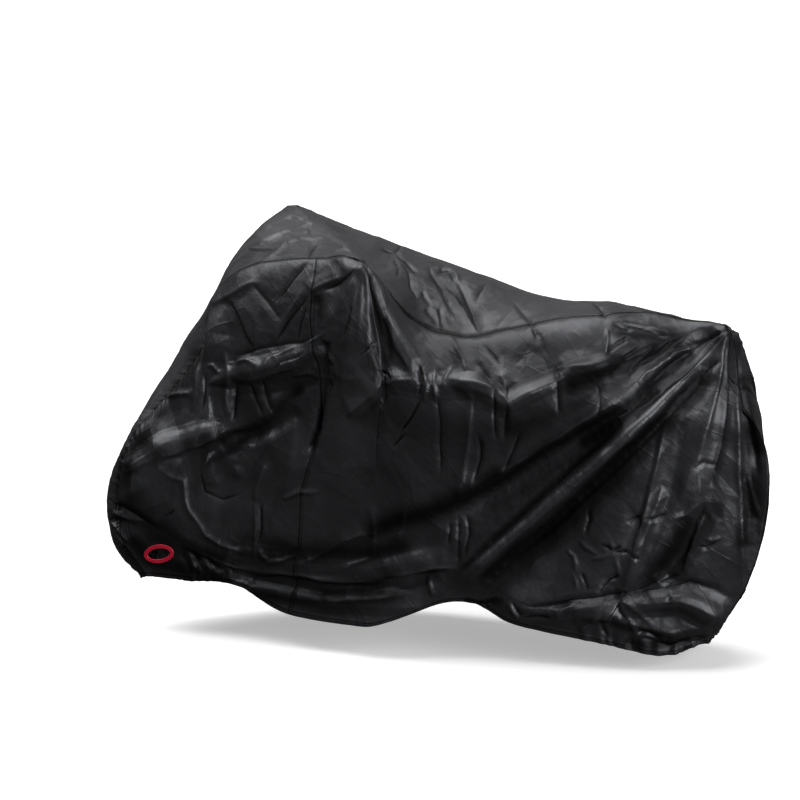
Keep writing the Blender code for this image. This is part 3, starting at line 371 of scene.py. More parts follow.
    ("tail_lip", "crease", 11, 11, -11, (65.9, 80), (62.2, 78.1), (59, 74.9), (56.3, 73.6),
     (53.7, 72), (50.3, 68.1)),
    ("tail_lip_light", "crease", 19, 19, 7, (69.6, 77.6), (64.3, 75.2), (60.1, 72.6), (55, 69.9),
     (50.5, 64.6)),
    ("tail_arrow", "crease", 8, 11, -8, (74.6, 73.1), (72, 71.2), (70.4, 69.1)),
    ("tail_light", "crease_fan", 13, 21, 8, (75.9, 79.4), (75.1, 73.1), (74.1, 66.5), (71.7, 57.2),
     (69.6, 48)),
    ("tail_mid_a", "roll", 24, 26, 4, (69.6, 67.8), (66.9, 57.2), (65.3, 46.6), (64.3, 36.1)),
    ("tail_mid_c", "crease_spread", 16, 16, -6, (77, 80.2), (77.2, 67.8), (75.9, 54.6), (74.6, 48),
     (72.8, 41.3), (71.2, 34.7)),
    ("tail_edge", "crease_fan", 19, 16, 9, (78.3, 78.9), (78.8, 67.8), (79.4, 54.6), (79.6, 41.3),
     (80.2, 30.8), (80.7, 20.2), (81, 11.7)),
    ("tail_shade", "crease_fan", 16, 21, -13, (77.8, 80.2), (79.9, 69.1), (82, 57.2), (84.1, 47.2),
     (85.4, 39.5)),
    ("tail_outer", "crease", 13, 16, 6, (81.5, 44), (83.3, 36.1), (85.4, 30.8)),
    ("tail_crumple_a", "crease", 11, 11, -4, (66.9, 44), (70.4, 46.1), (74.1, 45.3)),
    ("tail_crumple_e", "crease", 13, 11, -5, (68.8, 24.2), (71.2, 23.4), (74.1, 25.5)),
    ("tail_crumple_f", "crease", 11, 11, 5, (70.4, 26), (72.8, 25.2), (74.9, 26.5)),
    ("flap_dark_a", "crease", 11, 11, -9, (44.7, 74.9), (47.9, 77.3), (51.3, 79.2)),
    ("flap_dark_b", "crease", 13, 8, 6, (45, 81.6), (45, 78.1), (44.7, 74.7)),
    ("flap_dark_c", "crease", 8, 11, -7, (46.3, 82.9), (48.9, 81.6), (51.9, 81)),
    ("flap_sliver", "crease", 8, 13, -8, (47.6, 82.9), (53.7, 81.6), (59, 80.2), (63.5, 79.2)),
    ("flap_crease_a", "crease", 11, 11, -9, (48.4, 72.8), (51.1, 74.4), (55.3, 77.1)),
    ("flap_crease_b", "crease", 8, 8, 6, (52.6, 73.6), (55.3, 75.2), (57.9, 77.1)),
    ("flap_crease_e", "crease", 8, 8, 5, (61.1, 73.9), (62.2, 75.2), (65.1, 76), (68.3, 76)),
    ("flap_crease_g", "crease", 8, 8, -5, (65.3, 78.1), (67.5, 77.3), (69.6, 77.3)),
    ("flap_crease_j", "crease", 13, 11, -4, (42.6, 66.5), (43.1, 62.5), (42.3, 57.2)),
    ("long_light", "crease", 21, 11, 9, (60.3, 57.2), (58.7, 49.3), (56.9, 41.3), (55, 33.9),
     (53.4, 26.8), (51.9, 19.7), (48.9, 11.7)),
    ("long_light_b", "roll", 26, 32, 10, (69.6, 48), (66.4, 41.9), (63.8, 36.1), (60.3, 28.1),
     (56.3, 20.2), (51.6, 12.8)),
    ("star_a", "crease", 8, 8, -7, (43.1, 24.4), (45, 23.9), (46.6, 22.8)),
    ("star_b", "crease", 8, 8, -6, (46.6, 22.8), (47.6, 23.6), (48.7, 24.2)),
    ("star_c", "crease", 7, 11, -9, (46.6, 22.3), (49.7, 22.6), (51.3, 21.8)),
    ("star_d", "crease", 7, 8, -6, (51.1, 21.5), (53.2, 20.4)),
    ("star_e", "crease", 11, 8, 5, (40.2, 20.2), (43.9, 21), (46.6, 22.3)),
    ("star_g", "crease", 8, 8, 5, (45.5, 26), (46.3, 24.2), (46.8, 23.1)),
    ("star_i", "crease", 11, 11, 4, (46.8, 21.2), (47.9, 18.1), (48.4, 14.9)),
    ("star_l", "crease", 11, 8, 4, (34.1, 23.4), (36.2, 21.2), (37, 17.5)),
    ("knot_a", "crease", 8, 8, -5, (50.5, 29.7), (52.4, 31.3), (54, 32.6)),
    ("knot_c", "crease", 7, 8, -6, (54.5, 30.8), (57.7, 31.3), (60.8, 32.9)),
    ("knot_e", "crease", 8, 8, -5, (54, 31.6), (53.4, 28.1)),
    ("knot_g", "crease", 13, 11, 6, (61.1, 30.8), (65.6, 32.4), (69.6, 35.5)),
    ("panel_a", "crease", 8, 7, 5, (36.2, 17), (37, 11.7)),
    ("panel_b", "crease", 8, 7, -4, (38.1, 17.3), (38.9, 14.4), (39.9, 11.5)),
    ("panel_d", "crease", 11, 11, -6, (42.3, 11.2), (45.5, 14.9), (48.9, 16.7)),
    ("hollow_lap_rear", "lap", 34, 32, 14, (71.2, 35), (69, 30.8), (66.9, 24.2), (64.3, 16.2)),
    ("hollow_foot", "crease", 13, 13, -10, (51.6, 12), (56.3, 13.8), (62.2, 16.2), (64.6, 16.7)),
    ("pouch_crease", "crease", 13, 32, -11, (22.5, 7.8), (28.6, 8.5), (35.2, 9.9), (43.1, 10.7),
     (48.4, 11.5), (53.7, 12.2), (59.5, 13.3), (66.9, 14.6), (73.5, 12.8), (78.8, 9.1)),
    ("pouch_wedge", "crease", 8, 16, -9, (22.8, 7.8), (28.6, 8), (35.7, 9.3)),
    ("pouch_lip", "roll", 45, 19, 20, (32.5, 4.8), (43.1, 5.6), (53.7, 3), (62.2, 1.1), (69.6, 3),
     (76.5, 7.5)),
    ("pouch_tuck", "crease", 13, 19, -12, (52.1, 0.1), (56.3, -1), (62.2, -2.6), (69.6, -1.5),
     (72.8, 0.6)),
    ("pouch_dark_a", "crease", 11, 11, -13, (52.4, 1.7), (55.8, 1.4), (59.5, -1)),
    ("pouch_dark_b", "crease", 11, 11, -11, (63, -1.8), (66.9, -1.2), (71.2, 0.1)),
    ("crescent_a", "crease", 8, 11, -5, (54.2, 12.5), (55.8, 10.4), (56.6, 8.3)),
    ("crescent_b", "crease", 8, 11, -6, (60.8, 12.2), (61.6, 10.4), (61.1, 8)),
    ("peak_lap", "lap", 26, 21, 10, (43.7, 3.5), (45.8, 6.4), (48.1, 9.3)),
    ("peak_side", "crease", 8, 8, -5, (43.1, 5.1), (43.9, 1.7), (46, -0.4)),
    ("pleat_rear_a", "crease_fan", 11, 11, 7, (48.4, 9.1), (50.5, 5.4), (53.2, -0.2)),
    ("pleat_rear_c", "crease_fan", 11, 13, 5, (49.2, 9.3), (53.7, 6.4), (57.7, 2.7)),
    ("skirt_flap_a", "crease", 11, 11, 6, (42.9, 6.2), (40.5, 3.3), (37.3, 1.4)),
    ("skirt_line_a", "crease", 11, 11, -6, (22.2, 4.6), (25.9, 5.1), (30.7, 4.8)),
    ("skirt_line_b", "crease", 13, 13, 4, (31.2, 4.3), (33.1, 7), (36.5, 8.5)),
    ("skirt_fall_a", "crease", 8, 8, 5, (18.8, 9.6), (19.8, 7), (21.7, 4)),
    ("skirt_fall_b", "crease", 8, 8, -4, (19.8, 9.6), (20.9, 7), (22.5, 4.8)),
    ("skirt_dark", "crease", 11, 11, -8, (8.7, 8.5), (12.7, 8.8), (15.9, 10.1)),
    ("long_dark", "crease", 13, 16, -11, (4, 15.2), (10.8, 22), (17.7, 28.7), (25.1, 35),
     (32, 41.6), (39.2, 48.2), (46.6, 54.6), (52.6, 60.4)),
    ("tube_crest", "roll", 24, 21, 11, (2.6, 11.2), (5.6, 13.8), (12.7, 20.4), (19.8, 26.3),
     (27.2, 32.9), (34.4, 39.5), (41.8, 45.6), (48.9, 51.9), (56.3, 58.8), (64.3, 66.7),
     (72.8, 75.7)),
    ("long_dark_low", "roll", 32, 21, -13, (7.4, 11.7), (14.8, 17.8), (22.2, 24.2), (30.2, 29.7),
     (37, 36.6), (44.2, 43.2), (51.1, 49.8), (58.2, 56.4), (65.6, 64.6), (72.8, 73.1)),
    ("trough_brow", "crease", 40, 19, 9, (-4.5, 29.7), (1.9, 34.7), (10.1, 40), (18.8, 45.1),
     (27.2, 50.3), (35.2, 55.4), (43.1, 59.9), (52.1, 64.4)),
    ("tail_dark_a", "crease_fan", 16, 13, -12, (76.5, 81.3), (70.9, 78.1), (66.9, 75.5), (63, 72.6),
     (57.7, 68.1), (52.1, 63.6)),
    ("tail_dark_b", "crease_fan", 11, 11, -9, (76.7, 81), (72.8, 77.1), (68.3, 72.6), (63, 67.8),
     (56.9, 62.5), (52.1, 58.5)),
    ("gather_a", "crease", 8, 8, 5, (-66.9, 16.5), (-68.5, 19.7), (-69.6, 22)),
    ("gather_b", "crease", 8, 8, -6, (-65.3, 16.5), (-66.9, 20.2), (-68.5, 23.1)),
    ("gather_c", "crease", 8, 8, 6, (-63.5, 16.5), (-65.3, 20.2), (-66.9, 23.4)),
    ("gather_d", "crease", 8, 8, -6, (-61.6, 16.5), (-63.5, 19.7), (-65.3, 22.3)),
    ("gather_e", "crease", 8, 8, 5, (-59.5, 16.5), (-61.4, 19.7), (-63.5, 22)),
    ("gather_f", "crease", 8, 8, -5, (-57.1, 16.5), (-59.3, 19.1), (-61.4, 21)),
    ("gather_g", "crease", 8, 8, 4, (-54.2, 16.5), (-56.3, 18.3), (-59, 19.9)),
)

# ---- Wide painted shade and painted light of the left side: deep in folds, on their crests, and
# where the photo's light falls off. They are fixed to the cloth. ----
# Columns: name, millimetres to the left and right, depth of tone (below 0 for painted shade,
# above 0 for painted light), and the path of (along, up) in centimetres
LEFT_PAINTED_SHADES = (
    ("trough_band", 32, 32, -0.85, (52.4, 62.5), (43.7, 57.8), (34.9, 53), (26.2, 48), (18.3, 42.1),
     (9.26, 37.4), (1.32, 31.8)),
    ("above_tube", 16, 16, -0.7, (52.6, 62), (46.6, 54.8), (39.4, 48.5), (32, 41.9), (25.1, 35.3),
     (17.7, 28.7), (10.8, 22), (3.97, 15.4)),
    ("tube", 19, 19, 0.45, (72.8, 75.7), (64.3, 66.7), (56.3, 58.8), (48.9, 51.9), (41.8, 45.6),
     (34.4, 39.5), (27.2, 32.9), (19.8, 26.3), (12.7, 20.4), (5.56, 13.8)),
    ("below_tube", 79, 24, -0.9, (72.8, 72.6), (65.6, 64.1), (58.2, 56.2), (51.1, 49.6),
     (44.2, 42.9), (37, 36.3), (30.2, 29.4), (22.2, 23.6), (14.8, 17.5), (7.41, 11.5)),
    ("under_flap", 32, 32, -0.6, (-35.4, 67), (-39.9, 62.5), (-44.2, 57.2), (-52.1, 53)),
    ("hood", 32, 32, -0.5, (-44.7, 57.2), (-52.1, 54.6), (-58.7, 51.9)),
    ("toe", 42, 42, -0.5, (-87, 34.7), (-82.5, 28.1), (-75.9, 22.3)),
    ("toe_wall", 63, 63, -0.75, (-75.9, 30.8), (-66.7, 24.2), (-54.8, 19.7)),
    ("low_wall", 69, 53, -0.85, (-56.1, 23.4), (-36.2, 21.2), (-17.7, 21.8), (-4.5, 24.2)),
    ("hem_wall", 42, 42, -0.85, (-52.1, 12.8), (-36.2, 9.6), (-23, 9.07), (-7.14, 11.7)),
    ("front_gap", 21, 21, -0.6, (-32, 91.1), (-31.7, 86.3), (-31.5, 81)),
    ("rear_hollow", 53, 42, -0.8, (67.5, 32.1), (61.1, 22.3), (55, 13.8)),
    ("tail_edge", 53, 53, -0.75, (81.5, 70.4), (83.3, 57.2), (84.7, 46.6)),
    ("pouch_low", 34, 34, -0.85, (48.9, -0.979), (56.3, -2.3), (68.3, -1.77)),
    ("pouch_side", 21, 21, -0.5, (46.3, 6.43), (47.9, 2.99), (51.1, 0.608)),
    ("skirt_front", 21, 21, -0.6, (6.61, 9.34), (12.7, 8.81), (18, 9.6)),
    ("knee_gap", 19, 19, -0.6, (-13.8, 84.7), (-12.7, 78.4), (-12.2, 72)),
    ("saddle_dip", 90, 79, -0.5, (-9.26, 92.9), (-3.17, 82.4), (6.08, 75.7), (19.3, 75.7),
     (32.5, 77.1)),
    ("tail_top", 79, 69, -0.85, (31.5, 65.7), (43.1, 68.9), (56.3, 75.2), (66.9, 78.9)),
    ("apex", 58, 58, 0.6, (-48.1, 105), (-38.9, 109), (-29.6, 105)),
    ("front_wall", 106, 101, 0.4, (-24.3, 75.7), (-22.5, 62.5), (-20.4, 44)),
    ("nose_edge", 45, 40, -0.65, (-61.4, 77.1), (-72.8, 59.9), (-80.4, 48), (-84.4, 37.4)),
    ("toe_side", 79, 69, -0.75, (-82.5, 38.7), (-74.6, 26.8), (-61.4, 18.9)),
    ("rear_skirt", 90, 79, 0.55, (24.6, 15.4), (39.2, 18.1), (53.7, 22.8)),
    ("rear_panel", 106, 106, 0.25, (70.9, 62.5), (67.5, 44), (61.6, 28.1)),
    ("knee", 42, 37, 0.95, (-17.2, 68.3), (-19.8, 64.4), (-23, 60.4)),
    ("shelf", 40, 32, 0.35, (-57.9, 56.2), (-71.2, 50.3)),
    ("flap", 24, 24, -0.7, (46.6, 79.7), (55, 78.9), (62.7, 78.1)),
    ("tail_peak", 37, 37, -0.45, (69, 77.6), (76.2, 79.7), (81.5, 75.2)),
    ("tail_fan", 63, 58, -0.5, (56.9, 66.5), (66.9, 69.4), (78.8, 65.7)),
    ("above_trough", 58, 53, -0.55, (16.7, 54), (28.6, 58.5), (43.1, 63)),
    ("trough_end", 58, 53, -0.9, (-19.8, 26.5), (-11.9, 30.2), (-1.85, 32.9), (8.73, 37.6)),
    ("rear_edge", 63, 48, -0.8, (81.2, 45.3), (83.1, 36.1), (81.7, 22.8)),
    ("nose_wall", 53, 53, -0.4, (-61.4, 54.6), (-60.1, 49.8), (-58.5, 45.1)),
    ("flap_rim", 24, 24, -0.7, (8.73, 69.7), (18, 64.6), (27.2, 68.9), (35.2, 71.8), (43.1, 73.9)),
    ("trough_top", 34, 34, -0.8, (46.3, 58.5), (53.7, 63.8), (60.3, 69.9), (66.4, 75.2)),
    ("trough_mid", 48, 48, -0.9, (36.5, 49.8), (45.8, 55.9), (53.7, 62), (59.5, 66.7)),
    ("under_rear_flap", 40, 40, -0.85, (33.1, 66.7), (43.1, 68.9), (53.7, 71.5)),
    ("pouch_face", 29, 29, 0.6, (43.7, 6.43), (49.7, 7.49), (60.3, 8.54)),
    ("toe_low", 58, 53, -0.9, (-83.3, 26.8), (-75.9, 20.2), (-65.3, 17), (-53.4, 14.9)),
    ("nose_upper", 63, 63, -0.35, (-52.1, 89), (-41.5, 89.5), (-30.4, 88.4)),
    ("strip_back", 48, 48, -0.6, (-2.38, 96.9), (4.76, 89.5), (11.9, 83.1)),
    ("grip_wall", 24, 24, -0.5, (-17.2, 89), (-16.1, 78.4), (-15.3, 66.5)),
    ("seam_crumple", 32, 21, 0.6, (-37.3, 58.5), (-36.8, 51.9), (-38.4, 44)),
    ("wheel_face", 58, 53, 0.45, (-64, 35.3), (-53.4, 36.6), (-42.9, 34.5)),
    ("shelf_end", 26, 26, -0.6, (-80.4, 51.4), (-76.7, 55.4), (-73.8, 58.8)),
    ("trough_low", 37, 37, -0.8, (-1.85, 33.9), (4.76, 36.6), (11.4, 40), (18, 44.5)),
)

# Creases of the right side, in the same columns, in its own mirrored oblique elevation
RIGHT_CREASES = (
    ("grip_fan_a", "roll_fan", 14, 14, 9, (-58, 100), (-62, 88), (-64, 76)),
    ("grip_fan_b", "roll_fan", 13, 13, 9, (-57, 99), (-56, 84), (-52, 70)),
    ("grip_fan_c", "crease_fan", 14, 12, 8, (-56, 99), (-48, 86), (-38, 74)),
    ("grip_dark", "crease_fan", 10, 12, -12, (-57, 98), (-52, 82), (-48, 66)),
    ("shelf_lip", "crease", 48, 18, 20, (-74, 46), (-66, 50), (-54, 50), (-44, 54)),
    ("shelf_under", "roll", 18, 26, -10, (-66, 45), (-56, 44), (-44, 47)),
    ("wall_a", "crease", 12, 14, 8, (-34, 70), (-33, 52), (-36, 30)),
    ("wall_b", "lap", 16, 14, 7, (-20, 66), (-18, 46), (-20, 26)),
    ("wall_c", "crease", 10, 10, -7, (-8, 66), (-6, 48), (-8, 30)),
    ("wall_d", "crease", 12, 10, -8, (6, 64), (8, 50), (6, 38)),
    ("wall_e", "crease", 12, 14, 6, (18, 66), (20, 54), (17, 42)),
    ("wall_f", "crease", 10, 10, -7, (30, 70), (31, 60), (29, 52)),
    ("shoulder_lip_a", "crease", 70, 22, 18, (-34, 72), (-18, 68), (0, 68), (16, 63)),
    ("shoulder_lip_b", "crease", 80, 26, 20, (14, 64), (26, 66), (42, 72), (58, 74)),
    ("knee_lip", "crease", 50, 16, 14, (-42, 58), (-34, 62), (-28, 68)),
    ("rear_dark_a", "crease_fan", 14, 18, -14, (76, 80), (60, 66), (42, 52), (20, 38)),
    ("rear_dark_b", "crease_fan", 14, 16, -13, (77, 80), (66, 62), (50, 44), (28, 24)),
    ("rear_roll", "roll_fan", 22, 22, 9, (76, 80), (62, 62), (44, 46)),
    ("tail_a", "crease_fan", 20, 16, 9, (77, 78), (76, 60), (74, 40), (76, 18)),
    ("tail_b", "crease_fan", 16, 18, -10, (78, 76), (81, 58), (82, 40)),
    ("tail_c", "crease_spread", 16, 14, -8, (76, 76), (68, 60), (66, 40)),
    ("long_light", "crease", 20, 12, 8, (60, 56), (56, 40), (52, 24), (49, 12)),
    ("knot_a", "crease", 8, 8, -7, (44, 30), (48, 32), (53, 33)),
    ("knot_b", "crease", 8, 8, -6, (47, 34), (48, 31), (47, 27)),
    ("knot_c", "crease", 9, 8, 5, (40, 27), (45, 29), (48, 31)),
    ("pouch_crease", "crease", 14, 32, -11, (22, 8), (38, 11), (54, 12), (68, 13), (78, 9)),
    ("pouch_lip", "roll", 44, 20, 17, (34, 6), (46, 6), (60, 4), (72, 5)),
    ("low_line", "crease", 26, 14, 8, (-44, 20), (-28, 24), (-10, 26)),
    ("under_line", "crease", 34, 12, 11, (-50, 16), (-30, 14), (-10, 15), (8, 18)),
    ("under_shade", "crease", 12, 20, -8, (-48, 13), (-28, 12), (-8, 13)),
    ("cross_a", "crease", 20, 14, -7, (-52, 90), (-48, 80), (-42, 70)),
    ("cross_b", "crease", 16, 12, 6, (-40, 50), (-28, 42), (-20, 30)),
    ("cross_c", "crease", 16, 12, -6, (-4, 44), (8, 34), (14, 22)),
    ("cross_d", "crease", 14, 12, 5, (22, 46), (30, 38), (34, 26)),
)

# ---- How a crease's section, its width at the start and its ends look ----
# Columns: section, share of its width at the start, fades at the start, fades at the end
CREASE_KINDS = {
    "crease": ("sharp", 1.0, True, True),
    "crease_fan": ("sharp", 0.45, False, True),
    "crease_spread": ("sharp", 0.5, True, True),
    "roll": ("round", 1.0, True, True),
    "roll_fan": ("round", 0.4, False, True),
    "lap": ("lap", 1.0, True, True),
}
CREST_WIDTH = 0.0066           # half-width of the crisp line along a sharp crease's crest
CREST_HEIGHT = 0.0022          # and how far it stands out of the crease, or lies below it
PAINTED_LINE_WIDTH = 0.0036            # half-width of the painted shade line in a trough or painted highlight line on a ridge
RIDGE_PAINTED_HIGHLIGHT = 0.5               # how pale a ridge's painted highlight line is, for a trough's painted shade line of 1
# cell of the map of painted shade and painted highlight lines
PAINTED_LINE_MAP_CELL = 0.0015
SEAM_PAINTED_SHADE = ((0.0, 0.9), (0.008, 0.6))      # distance from a seam and depth of its painted shade lines
HEM_PAINTED_SHADE = ((0.003, 0.5), (0.011, 0.9))     # and from a hem
SHADE_FADE = (-0.02, 0.10)     # shares of its path between which a wide painted shade or light fades in or out
CREASE_FADE = 0.22             # share of its path over which a crease fades in or out
LAP_EDGE = 0.0022              # half-width of the edge where one layer laps over the next
LAP_DROP = 0.45                # how deep the lower layer dips, as a share of the crease's height
CREASE_WANDER = 0.0025         # how far creases wander from their straight runs
WANDER_LENGTH = 0.07
CREASE_UNEVEN = 0.30           # how much their height varies
UNEVEN_LENGTH = 0.06
CREASE_GAIN = 0.70             # heights of all creases, as a share of the tables' heights

# ---- The cloth hangs in flat facets between its creases: a map of each side's elevation ----
FACET_MAP = ((-1.00, -0.10), (1.10, 1.30))   # its lowest and highest (along, up)
FACET_MAP_CELL = 0.0025
KNOT_STEP = 0.030              # between facet corners along a crease
KNOT_CLEAR = 0.014             # free corners stay this far from the creases
KNOT_STRETCH = 1.4             # free corners are this much further apart along up
FOLD_KNOTS = (0.055, 0.0014)   # mean step and height of the free corners between main folds
CREASE_KNOTS = (0.048, 0.0012)           # and between creases
# Facet corners across a crease's section, and across a main fold's, as shares of its width
SECTION_KNOTS = {"sharp": (-1.0, 0.0, 1.0), "round": (-1.0, -0.45, 0.0, 0.45, 1.0),
                 "lap": (-1.0, 0.0, 1.0)}
FOLD_SECTION_KNOTS = (-1.0, -0.66, -0.33, 0.0, 0.33, 0.66, 1.0)
EDGE_KNOTS = 0.5               # facets meet in an edge along the knots within this share
# Columns: mean size of a free facet along and up, height
FACETS = (
    (0.130, 0.220, 0.0070),
    (0.055, 0.090, 0.0016),
    (0.026, 0.040, 0.0004),
)
FACET_JITTER = 0.47            # how uneven the facets are, as a share of their size

# ---- Where the cloth is crumpled: (along, up) in the left side's elevation, radius, strength ----
CRUMPLED = (
    ("star", (0.470, 0.225), 0.10, 1.3),
    ("knot", (0.555, 0.320), 0.07, 1.0),
    ("tail_flap", (0.56, 0.76), 0.13, 1.2),
    ("gusset", (-0.02, 0.92), 0.16, 0.9),
    ("ledge", (-0.46, 0.73), 0.10, 1.0),
    ("tucks", (-0.01, 0.67), 0.06, 1.3),
    ("knee", (-0.15, 0.68), 0.07, 1.0),
    ("nose_seam", (-0.60, 0.76), 0.07, 1.2),
    ("peep", (-0.29, 0.70), 0.06, 1.2),
    ("tail_dimples", (0.70, 0.45), 0.08, 0.7),
    ("tail_low_dimples", (0.73, 0.25), 0.07, 0.9),
    ("bar_back", (-0.15, 1.02), 0.12, 0.9),
)
CRUMPLE_CALM = 0.55            # strength of the crumples everywhere else
# Columns: wavelength, height of its ridges, height of its troughs
CRUMPLES = (
    (0.140, 0.0040, 0.0040),
    (0.050, 0.0014, 0.0016),
)
CRUMPLE_BEND = 0.35            # how far crumples bend, as a share of their wavelength
TROUGH_LENGTH = 0.8            # wavelength of the troughs, as a share of the ridges'
TROUGH_SHIFT = 7.0             # keeps the troughs' noise apart from the ridges'
CRUMPLE_UNDER_FACETS = 0.35    # share of the crumples left where facets are laid

# ---- Seams, hems and gathers ----
PUCKER_LENGTH = 0.017          # from one pucker along a seam to the next
PUCKER_REACH = 0.026           # how far puckers reach to each side of a seam
PUCKER_HEIGHT = 0.0007
NOSE_PUCKER_HEIGHT = 0.0045    # along the gathered seam of the nose
NOSE_SEAM_END = 0.92           # its end, as a place along the strip
SEAM_GROOVE = 0.0012
SEAM_GROOVE_REACH = 0.0035
SEAM_BAND = (0.0085, 0.0105)   # the felled seam's band on the strip ends between these distances
SEAM_RISE = 0.0006
HEM_BAND = (0.0130, 0.0160)
HEM_RISE = 0.0016
GATHER_REACH = 0.055           # how far the elastic's gathers reach above the hem
GATHER_HEIGHT = 0.0060
GATHER_SIZE = (0.024, 0.024, 0.16)   # mean size of a gather along X, Y and Z
FRONT_ELASTIC_END = (-0.50, -0.38)   # x where the front elastic ends
REAR_ELASTIC_START = (0.42, 0.56)

STITCH_PITCH = 0.0036
STITCH_LENGTH = 0.0027
STITCH_WIDTH = 0.0007
STITCH_RISE = 0.0004           # how far a stitch stands out of the cloth, and sinks into it
STITCH_SINK = 0.0003
SEAM_STITCHES = (0.0025, 0.0080)     # distances of the two rows from a seam
HEM_STITCHES = (0.0030, 0.0110)      # and from a hem

EYELET_STEPS = 96
EYELET_HOLE_INSET = 0.006      # the cloth ends this far inside the ring's outer edge
# Section of the ring's band: (share of the band in from its outer edge, share of half its height)
EYELET_SECTION = (
    (0.00, 0.00), (0.02, 0.45), (0.08, 0.80), (0.18, 0.98), (0.30, 1.00), (0.38, 0.80),
    (0.50, 0.70), (0.62, 0.80), (0.70, 1.00), (0.84, 1.00), (0.94, 0.72), (1.00, 0.25),
    (1.00, -0.25), (0.94, -0.72), (0.80, -1.00), (0.20, -1.00), (0.06, -0.72), (0.01, -0.35),
)


# ======================================================================= curves and base surface

def smooth_curve(knots, points, at):
    """Points of the smooth curve through the given points, at the given places along it."""
    knots = np.asarray(knots, float)
    points = np.asarray(points, float)
    slopes = np.diff(points, axis=0) / np.diff(knots)[:, None]
    tangents = np.empty_like(points)
    tangents[0] = slopes[0]
    tangents[-1] = slopes[-1]
    before = np.diff(knots)[:-1, None]
    after = np.diff(knots)[1:, None]
    tangents[1:-1] = (slopes[:-1] * after + slopes[1:] * before) / (before + after)
    span = np.clip(np.searchsorted(knots, at, side="right") - 1, 0, len(knots) - 2)
    length = (knots[span + 1] - knots[span])[:, None]
    f = (at - knots[span])[:, None] / length
    start = points[span]
    end = points[span + 1]
    return ((2 * f**3 - 3 * f**2 + 1) * start + (f**3 - 2 * f**2 + f) * length * tangents[span]
            + (3 * f**2 - 2 * f**3) * end + (f**3 - f**2) * length * tangents[span + 1])


def smooth_step(value, low, high):
    """0 below low, 1 above high and a smooth ramp between."""
    f = np.clip((value - low) / (high - low), 0.0, 1.0)
    return f * f * (3.0 - 2.0 * f)


def ridged(noise):
    """Noise folded into sharp ridges: 0.5 on them, falling to about -1.5 between."""
    return 0.5 - 2.0 * np.abs(noise)


def smooth_noise(points, wavelength, seed):
    """Gradient noise of about -1 to 1; the wavelength may differ along X, Y and Z."""
    rng = np.random.default_rng(seed)
    mixed = rng.permutation(256)
    slopes = rng.normal(size=(3, 256)).astype(np.float32)
    slopes /= np.linalg.norm(slopes, axis=0)
    scaled = (points / np.asarray(wavelength, float)).T
    cell = np.floor(scaled).astype(np.int32)
    inside = (scaled - cell).astype(np.float32)
    ease = inside**3 * (inside * (inside * 6.0 - 15.0) + 10.0)
    total = np.zeros(len(points), np.float32)
    for x, y, z in itertools.product((0, 1), repeat=3):
        row = mixed[(cell[0] + x) & 255] + cell[1] + y
        slope = slopes[:, mixed[(mixed[row & 255] + cell[2] + z) & 255]]
        weight = 1.0
        for axis, step in enumerate((x, y, z)):
            weight = weight * (ease[axis] if step else 1.0 - ease[axis])
        total += weight * ((inside[0] - x) * slope[0] + (inside[1] - y) * slope[1]
                           + (inside[2] - z) * slope[2])
    return total * NOISE_GAIN


def path_places(points):
    """How far along a path each of its points lies."""
    steps = np.linalg.norm(np.diff(points, axis=0), axis=1)
    return np.concatenate(([0.0], np.cumsum(steps)))


def section_places():
    """Where each strip section lies along the strip, between its left seam and its crown."""
    left = np.array([row[1] for row in STRIP_SECTIONS])
    crown = np.array([row[2] for row in STRIP_SECTIONS])
    steps = (np.linalg.norm(np.diff(left, axis=0), axis=1)
             + np.linalg.norm(np.diff(crown, axis=0), axis=1)) / 2.0
    return np.concatenate(([0.0], np.cumsum(steps)))


def strip_samples(names, places):
    """Places along the strip for each row of cells, and the row of the nose, seam and corner."""
    nose = names.index("nose")
    corner = names.index("rear_corner")
    front = np.linspace(places[0], places[nose], SIDE_CELLS + 1)
    rear = np.linspace(places[corner], places[-1], SIDE_CELLS + 1)
    top = [places[nose]]
    seam_row = 0
    for index in range(nose, corner):
        cells = max(1, round((places[index + 1] - places[index]) / CELL))
        top.extend(np.linspace(places[index], places[index + 1], cells + 1)[1:])
        if names[index + 1] == "side_seam":
            seam_row = SIDE_CELLS + len(top) - 1
    rows = np.concatenate((front[:-1], top, rear[1:]))
    return rows, SIDE_CELLS, seam_row, SIDE_CELLS + len(top) - 1


def swell_profile(t):
    """How the swell of a wall grows below its seam (t = 0) and dies away to the hem (t = 1)."""
    return np.sin(np.pi * t**SWELL_PEAK)


def grid_faces(index, flip):
    """Quads of a grid of point numbers."""
    quads = np.stack((index[:-1, :-1], index[1:, :-1], index[1:, 1:], index[:-1, 1:]), axis=-1)
    quads = quads.reshape(-1, 4)
    return quads[:, ::-1] if flip else quads


def run_lengths(points, axis):
    """Length along a grid of points from its first row (axis 0) or column (axis 1)."""
    steps = np.linalg.norm(np.diff(points, axis=axis), axis=2)
    lengths = np.zeros(points.shape[:2])
    if axis == 0:
        lengths[1:] = np.cumsum(steps, axis=0)
    else:
        lengths[:, 1:] = np.cumsum(steps, axis=1)
    return lengths


